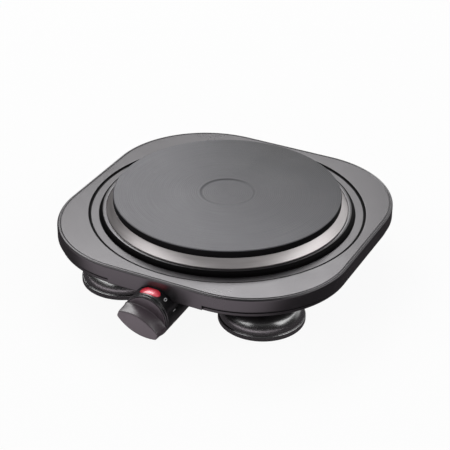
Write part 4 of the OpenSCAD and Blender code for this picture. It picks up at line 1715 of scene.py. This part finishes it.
@dataclass
class LampLens:
    """Domed red lens that fills the pod's window, and the neon lamp's glow behind it.

    Attributes:
        pod: The pod that carries the lens.
        proud: How far the lens stands out of the pod.
        soft: Rounding of the lens's edge.
        crown: How much the middle rises above the edge.
        lamp: Place of the glow, to the right and behind the window's front end.
    """

    pod: ControlPod
    proud: float = 0.45 * MM
    soft: float = 0.5 * MM
    crown: float = 0.12 * MM
    lamp: Spot = (1.5 * MM, 2.6 * MM)

    def build(self) -> None:
        """Builds the lens from rings that shrink towards its middle."""
        pod = self.pod
        edge = pod.outline(0.0)
        middle = pod.lens_back + pod.lens_l / 2

        def ring(share: float, inset: float, lift: float) -> Ring:
            """Points of one ring of the lens.

            Args:
                share: Size of the ring against the outline.
                inset: Distance in from the outline.
                lift: Height above the pod's surface.

            Returns:
                The ring in the row frame.
            """
            points = []
            for x, s in edge:
                dx, ds = x * share, (s - middle) * share
                reach = math.hypot(dx, ds) or 1.0
                dx, ds = dx * (1 - inset / reach), ds * (1 - inset / reach)
                radius = pod.radius(middle + ds) + lift
                points.append(from_front((dx, math.sqrt(radius**2 - dx**2), -(middle + ds)), POD_RIM_Y))
            return points

        rings = [ring(1.0, 0.0, -pod.wall), ring(1.0, 0.0, self.proud - self.soft)]
        for x, z in arc((0.0, 0.0), self.soft, 15, 90, 5):
            rings.append(ring(1.0, self.soft - x, self.proud - self.soft + z))
        for share in (0.8, 0.65, 0.5, 0.35, 0.2, 0.08):
            rings.append(ring(share, self.soft * share, self.proud + self.crown * (1 - share**2)))
        top = pod.radius(middle) + self.proud + self.crown
        bottom = pod.radius(middle) - pod.wall
        poles = [from_front((0, up, -middle), POD_RIM_Y) for up in (bottom, top)]
        mesh = loft(rings, False, *poles)
        centre = from_front((self.lamp[0], top, -pod.lens_back - self.lamp[1]), POD_RIM_Y)
        finish = LitLens("lit_red_lens", centre=centre)
        seat(piece("lamp_lens_dome", mesh, finish), Body.BASE, Slot.LENS_RED, "lamp_lens")


@dataclass
class DialMarks:
    """Numbers printed round the pod, clockwise from off.

    Attributes:
        pod: The pod that carries the print.
        first: Angle of the first number, from the right, in degrees.
        step: Angle between numbers, in degrees.
        count: Number of marks.
        size: Height of the type.
        depths: Distance behind the rim of the first number and of the others.
        film: Thickness of the print.
        bold: How much each stroke is thickened.
    """

    pod: ControlPod
    first: float = 48.8
    step: float = -34.8
    count: int = 6
    size: float = 5.4 * MM
    depths: Spot = (9.4 * MM, 12.6 * MM)
    film: float = 0.05 * MM
    bold: float = 0.02 * MM

    def build(self) -> None:
        """Builds every number as a thin print that follows the pod."""
        whole = bmesh.new()
        for i in range(self.count):
            self.number(whole, str(i), self.first + i * self.step, self.depths[min(i, 1)])
        seat(piece("dial_numbers", whole, PRINT), Body.BASE, Slot.POD)

    def number(self, whole: bmesh.types.BMesh, text: str, angle: float, behind: float) -> None:
        """Adds one number to the print.

        Args:
            whole: The mesh that takes the number.
            text: The number.
            angle: Its angle round the pod, in degrees.
            behind: Distance of its middle behind the rim.
        """
        curve = bpy.data.curves.new("number", "FONT")
        curve.body = text
        curve.size = self.size
        curve.align_x = "CENTER"
        curve.align_y = "CENTER"
        curve.extrude = self.film / 2
        curve.offset = self.bold
        holder = link("number", curve)
        data = evaluated(holder)
        bpy.data.objects.remove(holder)
        digit = bmesh.new()
        digit.from_mesh(data)
        bpy.data.meshes.remove(data)
        long_edges = [edge for edge in digit.edges if edge.calc_length() > 0.8 * MM]
        bmesh.ops.subdivide_edges(digit, edges=long_edges, cuts=2, use_grid_fill=False)
        bmesh.ops.triangulate(digit, faces=digit.faces)
        lift = self.film / 2 - 0.01 * MM
        for vert in digit.verts:
            depth = behind + vert.co.y
            radius = self.pod.radius(depth) + vert.co.z + lift
            turn = math.radians(angle) - vert.co.x / self.pod.radius(depth)
            vert.co = from_front((radius * math.cos(turn), radius * math.sin(turn), -depth), POD_RIM_Y)
        add_part(whole, digit)


@dataclass
class Knob:
    """Knob with a round disc and an oval grip across it.

    Attributes:
        disc_r: Radius of the disc.
        disc_t: Thickness of the disc.
        grip_a: Half length of the grip.
        grip_b: Half thickness of the grip.
        side_r: Radius of the grip's wide sides.
        height: How far the grip stands out of the disc.
        draft: How much the grip narrows on each side.
        rounding: Rounding of the front edge.
        flare: Flare where the grip meets the disc.
        soft: Rounding of the disc's edge.
        turn: Turn of the grip from level, in degrees.
    """

    disc_r: float = 16.9 * MM
    disc_t: float = 1.4 * MM
    grip_a: float = 18.2 * MM
    grip_b: float = 8.1 * MM
    side_r: float = 34 * MM
    height: float = 12 * MM
    draft: float = 0.5 * MM
    rounding: float = 0.9 * MM
    flare: float = 0.45 * MM
    soft: float = 0.35 * MM
    turn: float = -20.0

    def outline(self, inset: float, height: float, steps: int = 240) -> Ring:
        """One level ring of the grip.

        Args:
            inset: Distance in from the grip's outline at its foot.
            height: Height above the disc.
            steps: Number of points.

        Returns:
            The ring, seen from the front.
        """
        points = []
        offset, blend = self.side_r - self.grip_b, 70
        for i in range(steps):
            a = 2 * math.pi * i / steps
            rise = abs(math.sin(a)) * offset
            side = math.sqrt(rise**2 - offset**2 + (self.side_r - inset) ** 2) - rise
            end = self.grip_a - inset
            reach = (side**-blend + end**-blend) ** (-1 / blend)
            points.append((reach * math.cos(a), reach * math.sin(a), height))
        return points

    def build(self) -> None:
        """Builds the disc and the grip as one moulding."""
        flare, draft, height, rounding = self.flare, self.draft, self.height, self.rounding
        sunk = -0.1 * MM
        lay = [(-flare, sunk), (-flare, 0.15 * MM), (-0.5 * flare, 0.35 * MM), (-0.12 * flare, 0.8 * MM)]
        lay += [(0.35 * draft, 0.35 * height), (0.7 * draft, 0.7 * height)]
        edge = height - rounding
        lay += [(draft + rounding * (1 - x), edge + rounding * z) for x, z in arc((0.0, 0.0), 1.0, 0, 90, 8)]
        lay += [(draft + rounding + 1.2 * MM, height), (draft + 4 * MM, height)]
        rings = [self.outline(inset, level) for inset, level in lay]
        whole = loft(rings, False, (0, 0, sunk), (0, 0, height))
        r, t, soft = self.disc_r, self.disc_t, self.soft
        disc = [(0, -t), (r - 0.1 * MM, -t), (r, -t + 0.1 * MM)]
        disc += arc((r - soft, -soft), soft, 0, 90, 5) + [(0, 0)]
        add_part(whole, revolve(disc, 160))
        turn_to_front(whole, KNOB_BACK_Y + height, self.turn)
        seat(piece("knob_moulding", whole, KNOB_PLASTIC, 40.0), Body.CONTROL, Slot.KNOB_BLACK, "knob")


# ---------------------------------------------------------------- small hardware


@dataclass
class Screws:
    """Pan-head screws that look down, with a cross recess, set on their points by one tree.

    Attributes:
        tree: The geometry tree that sets copies on points.
        name: Name of the finished piece.
        node: CAD node that the screws stand for.
        points: Where each head's seat is.
        shank_l: Length of a shank.
        shank_r: Radius of a shank.
        head_r: Radius of a head.
        head_h: Height of a head.
        dome: Share of the head's radius and height at each point of its dome.
        cross: Half width of the cross as a share of the head's radius, at its mouth and its foot.
        blade: Width of each blade of the cross, at its mouth and its foot.
        cross_d: Height of the blades, half of which cuts into the head.
    """

    tree: bpy.types.NodeTree
    name: str
    node: str
    points: Sequence[Point]
    shank_l: float
    shank_r: float = 1.5 * MM
    head_r: float = 3.2 * MM
    head_h: float = 2.2 * MM
    dome: Sequence[Spot] = ((1.0, 0.45), (0.94, 0.66), (0.8, 0.84), (0.55, 0.96), (0.0, 1.0))
    cross: Spot = (0.55, 0.3)
    blade: Spot = (0.5 * MM, 0.3 * MM)
    cross_d: float = 1.5 * MM

    def pattern(self) -> bpy.types.Object:
        """Builds one screw, its head's seat at the origin.

        Returns:
            The pattern screw.
        """
        r, h, s, tip = self.head_r, self.head_h, self.shank_r, -self.shank_l
        profile = [(0, tip), (s * 0.6, tip), (s, tip + s * 0.6), (s, 0), (r - 0.15 * MM, 0), (r, 0.15 * MM)]
        profile += [(r * wide, h * high) for wide, high in self.dome]
        screw = piece(self.name + "_pattern", revolve(profile, 32), SCREW_STEEL)
        for turn in (0, 90):
            tool = bmesh.new()
            bmesh.ops.create_cube(tool, size=1.0)
            for vert in tool.verts:
                end = 0 if vert.co.z > 0 else 1
                x, y = vert.co.x * 2 * self.cross[end] * r, vert.co.y * self.blade[end]
                vert.co = (x, y, h + vert.co.z * self.cross_d)
            tool.transform(Matrix.Rotation(math.radians(turn), 4, "Z"))
            cut(screw, tool)
        return screw

    def build(self) -> None:
        """Sets the pattern on every point."""
        seeds = bpy.data.meshes.new(self.name + "_points")
        seeds.from_pydata([tuple(p) for p in self.points], [], [])
        pattern = self.pattern()
        made = run_tree(self.name, self.tree, seeds, {
            "Pattern": pattern, "Turn step": 1.7, "Flip": math.pi, "Material": SCREW_STEEL.material(),
        })
        bpy.data.objects.remove(pattern)
        seat(made, Body.BASE, Slot.SCREW_STEEL, self.node)


@dataclass
class CordGland:
    """Rubber gland in the rear side, with an open mouth for the cord.

    Attributes:
        bore_r: Radius of the cord's hole.
        neck_r: Radius of the neck in the sheet.
        rib: Depth of the grooves round the flange.
    """

    bore_r: float = 3.5 * MM
    neck_r: float = 4.9 * MM
    rib: float = 0.35 * MM

    def build(self) -> None:
        """Builds the gland as one revolved ring with a grooved flange."""
        low, high = span("cord_gland")
        wall = AXIS_Y + HALF_W
        out = high.y - wall
        r = (high.x - low.x) / 2
        back = low.y - wall
        neck, lip = self.neck_r, self.neck_r + 0.5 * MM
        profile = [(self.bore_r, back), (neck, back), (lip, back + 0.6 * MM), (lip, -1.6 * MM)]
        profile += [(neck, -1.6 * MM), (neck, 0.0), (r - 0.3 * MM, 0.0), (r, 0.3 * MM), (r, 1.0 * MM)]
        profile += [(r - self.rib, 1.25 * MM), (r - self.rib, 1.6 * MM), (r, 1.85 * MM)]
        profile += arc((r - 1.3 * MM, out - 1.3 * MM), 1.3 * MM, 0, 90, 7)
        profile += arc((self.bore_r + 0.7 * MM, out - 0.7 * MM), 0.7 * MM, 90, 180, 5)
        ring = revolve(profile, 96, closed=True)
        ring.transform(lay_down(wall, (low.z + high.z) / 2, -90))
        seat(piece("cord_gland_rubber", ring, RUBBER), Body.BASE, Slot.RUBBER, "cord_gland")


@dataclass
class CarriedOver:
    """CAD nodes that keep their shape and get a finish.

    Attributes:
        shown: Outer nodes, rebuilt with merged corners so that they shade smoothly.
        inner: Nodes inside the body, dressed as they are, listed after their finish.
    """

    shown: dict[str, tuple[Finish, Slot]]
    inner: Sequence[tuple[Finish, Sequence[str]]]

    def build(self) -> None:
        """Dresses every carried-over node."""
        for node, (finish, slot) in self.shown.items():
            mesh = bmesh.new()
            mesh.from_mesh(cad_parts[node].data)
            bmesh.ops.remove_doubles(mesh, verts=mesh.verts, dist=1e-6)
            seat(piece(node + "_pressing", mesh, finish, 25.0), Body.BASE, slot, node)
        for finish, nodes in self.inner:
            for node in nodes:
                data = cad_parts[node].data
                data.materials.clear()
                data.materials.append(finish.material())
                LOG.info("%s: CAD node, %s", node, finish.name)


# ---------------------------------------------------------------- studio


@dataclass
class Softbox:
    """One soft lamp.

    Attributes:
        name: Name of the lamp.
        place: Where it stands.
        aim: Point that it looks at.
        size: Width and height.
        power: Power in watts.
        colour: Colour of its light.
    """

    name: str
    place: Point
    aim: Point
    size: Spot
    power: float
    colour: Colour = WHITE

    def build(self) -> None:
        """Builds the lamp."""
        lamp = bpy.data.lights.new(self.name, "AREA")
        lamp.shape = "RECTANGLE"
        lamp.size, lamp.size_y = self.size
        lamp.energy = self.power
        lamp.color = self.colour
        obj = link(self.name, lamp)
        obj.location = self.place
        aim = Vector(self.aim) - Vector(self.place)
        obj.rotation_mode = "QUATERNION"
        obj.rotation_quaternion = aim.to_track_quat("-Z", "Y")


@dataclass
class Studio:
    """Pale floor, white surround, soft lamps and the camera.

    Attributes:
        floor: Half width of the floor.
        pale: Colour of the floor as a light surface.
        lens: Focal length of the camera.
        camera: Where the camera stands.
        look: Direction in which it looks.
        roll: Turn about that direction, in degrees.
        seen: Share of plain white in the floor that the camera sees.
        thrown: Strength of the floor in reflections, beside the object and in front of it.
        shift: Y at which that strength starts to change, and at which it has changed.
        tint: Colour of the floor in reflections.
        room: Strength of the surround in reflections, overhead and on the camera's side.
        horizons: Height of a direction at which the surround turns, on the camera's side and behind.
        fill: Strength of the surround as a light.
    """

    floor: float = 4.0
    pale: Colour = (0.86, 0.86, 0.86)
    lens: float = 117.1
    camera: Point = (0.46016, -0.91464, 0.64272)
    look: Point = (-0.38490, 0.77126, -0.50695)
    roll: float = 0.595
    seen: float = 0.93
    thrown: Spot = (0.08, 1.15)
    shift: Spot = (-0.125, -0.165)
    tint: Colour = (1.0, 0.9, 0.97)
    room: Spot = (0.25, 0.03)
    horizons: tuple[Spot, Spot] = ((0.5, 0.85), (0.4, 0.85))
    fill: float = 0.22

    def build(self) -> None:
        """Builds the floor, the surround, the lamps and the camera."""
        self.lay_floor()
        self.surround()
        lamps = [
            Softbox("softbox_left", (-0.89, -1.05, 1.13), (0.0, 0.0, 0.05), (2.0, 0.8), 9.0),
            Softbox("softbox_right", (1.36, 0.38, 1.08), (0.0, 0.0, 0.05), (2.0, 0.8), 10.0),
            Softbox("softbox_back", (-1.05, 1.15, 1.54), (0.0, 0.1, 0.05), (1.75, 0.85), 24.0),
        ]
        for lamp in lamps:
            lamp.build()
        data = bpy.data.cameras.new("camera")
        data.lens = self.lens
        data.sensor_width = 36.0
        data.clip_start, data.clip_end = 0.05, 20.0
        camera = link("camera", data)
        camera.location = self.camera
        camera.rotation_mode = "QUATERNION"
        turn = Quaternion((0.0, 0.0, 1.0), math.radians(self.roll))
        camera.rotation_quaternion = Vector(self.look).to_track_quat("-Z", "Y") @ turn
        bpy.context.scene.camera = camera
        bpy.context.scene.view_settings.view_transform = "Standard"

    def lay_floor(self) -> None:
        """Lays the plain pale floor, which keeps the object's shadow."""
        data = bpy.data.meshes.new("floor")
        f = self.floor
        data.from_pydata([(-f, -f, 0), (f, -f, 0), (f, f, 0), (-f, f, 0)], [], [(0, 1, 2, 3)])
        obj = link("floor", data)
        material = bpy.data.materials.new("pale_floor")
        material.use_nodes = True
        tree = Tree(material.node_tree)
        tree.tree.nodes.clear()
        matt = tree.add("ShaderNodeBsdfDiffuse", {"Color": self.pale})
        path, mirrored = self.rays(tree)
        near = tree.ramp(tree.axes(tree.place())[1], *self.shift, self.thrown)
        level = tree.math("ADD", tree.math("MULTIPLY", mirrored, near), path["Is Camera Ray"])
        tint = tree.mix(mirrored, WHITE, self.tint)
        white = tree.add("ShaderNodeEmission", {"Color": tint, "Strength": level})
        share = tree.math("MULTIPLY_ADD", path["Is Camera Ray"], self.seen, mirrored)
        mixed = tree.add("ShaderNodeMixShader", {0: share, 1: matt.outputs[0], 2: white.outputs[0]})
        out = tree.add("ShaderNodeOutputMaterial")
        tree.put(out.inputs["Surface"], mixed.outputs[0])
        data.materials.append(material)

    def rays(self, tree: Tree) -> tuple[object, object]:
        """Adds the light path to a tree.

        Args:
            tree: The tree.

        Returns:
            The light path's outputs, and 1 for a ray that was mirrored or let through.
        """
        path = tree.add("ShaderNodeLightPath").outputs
        return path, tree.math("MAXIMUM", path["Is Glossy Ray"], path["Is Transmission Ray"])

    def surround(self) -> None:
        """Makes the world white behind the object, darker overhead and on the camera's side."""
        world = bpy.data.worlds.new("studio")
        world.use_nodes = True
        bpy.context.scene.world = world
        tree = Tree(world.node_tree)
        tree.tree.nodes.clear()
        path, mirrored = self.rays(tree)
        _, far, height = tree.axes(tree.add("ShaderNodeTexCoord").outputs["Generated"])
        overhead, camera_side = self.room
        low, high = self.horizons
        front = tree.ramp(height, *low, (camera_side, overhead))
        back = tree.ramp(height, *high, (1.0, overhead))
        turned = tree.ramp(far, 0.5, 0.9)
        back = tree.math("MULTIPLY", turned, back)
        front = tree.math("MULTIPLY", tree.math("SUBTRACT", 1.0, turned), front)
        level = tree.math("MULTIPLY", mirrored, tree.math("ADD", back, front))
        level = tree.math("ADD", level, path["Is Camera Ray"])
        seen = tree.add("ShaderNodeBackground", {"Color": WHITE, "Strength": level})
        fill = tree.add("ShaderNodeBackground", {"Color": WHITE, "Strength": self.fill})
        share = tree.math("MAXIMUM", mirrored, path["Is Camera Ray"])
        mixed = tree.add("ShaderNodeMixShader", {0: share, 1: fill.outputs[0], 2: seen.outputs[0]})
        out = tree.add("ShaderNodeOutputWorld")
        tree.put(out.inputs["Surface"], mixed.outputs[0])


# ---------------------------------------------------------------- the whole object


def screw_sets() -> list[Screws]:
    """Lists the screws that show from outside.

    Returns:
        The sets of screws.
    """
    tree = scatter_tree()
    pod = ControlPod()
    boss, across = HALF_W - 13.7 * MM, 34 * MM
    spots = [(boss, 0.0), (-boss, 0.0), (across, boss), (-across, boss), (across, -boss), (-across, -boss)]
    base = [(x, AXIS_Y + y, BASE_Z) for x, y in spots]
    ears = [(side * pod.ear_x, POD_RIM_Y + pod.ear_s, BASE_Z - pod.ear_t) for side in (-1, 1)]
    return [
        Screws(tree, "base_screw_set", "base_screws", base, 9 * MM),
        Screws(tree, "pod_screw_set", "pod_screws", ears, 6.2 * MM),
    ]


def main() -> None:
    """Builds the sub-assemblies in order and the studio round them."""
    logging.basicConfig(level=logging.INFO, format="%(name)s: %(message)s")
    pod = ControlPod()
    parts = [Housing(), CastPlate(), SpillRing(), pod, LampLens(pod), DialMarks(pod), Knob(), CordGland()]
    parts += [Foot(node) for node in ("front_left", "front_right", "rear_left", "rear_right")]
    parts += screw_sets()
    # Painted shade under the housing's skirt: above this height the base cover's paint is made darker and
    # dull.
    seam_shade_z = BASE_Z + 2.4 * MM
    black = (0.014, 0.013, 0.014)
    base_paint = SprayedPaint("base_cover_paint", base=black, rough=0.4, sheen=0.9, above=seam_shade_z)
    parts.append(CarriedOver(
        shown={"base_cover": (base_paint, Slot.BASE)},
        inner=(
            (CERAMIC, ("ceramic_fill", "plate_terminal", "thermostat_body", "cord_clamp", "terminal_block")),
            (WIRE, ("heating_coils",)),
            (ZINC, ("element_cover", "clamp_bridge", "thermal_cutout")),
            (BRASS, ("earth_tag", "thermostat_cam")),
            (BRIGHT, ("heat_shield",)),
            (NEON, ("neon_lamp",)),
            (SCREW_STEEL, (
                "plate_stud", "bridge_nut", "thermostat_screws", "thermostat_shaft", "knob_spring",
                "foot_screws", "clamp_screws",
            )),
        ),
    ))
    for part in parts:
        part.build()
    Studio().build()


if __name__ == "__main__":
    main()
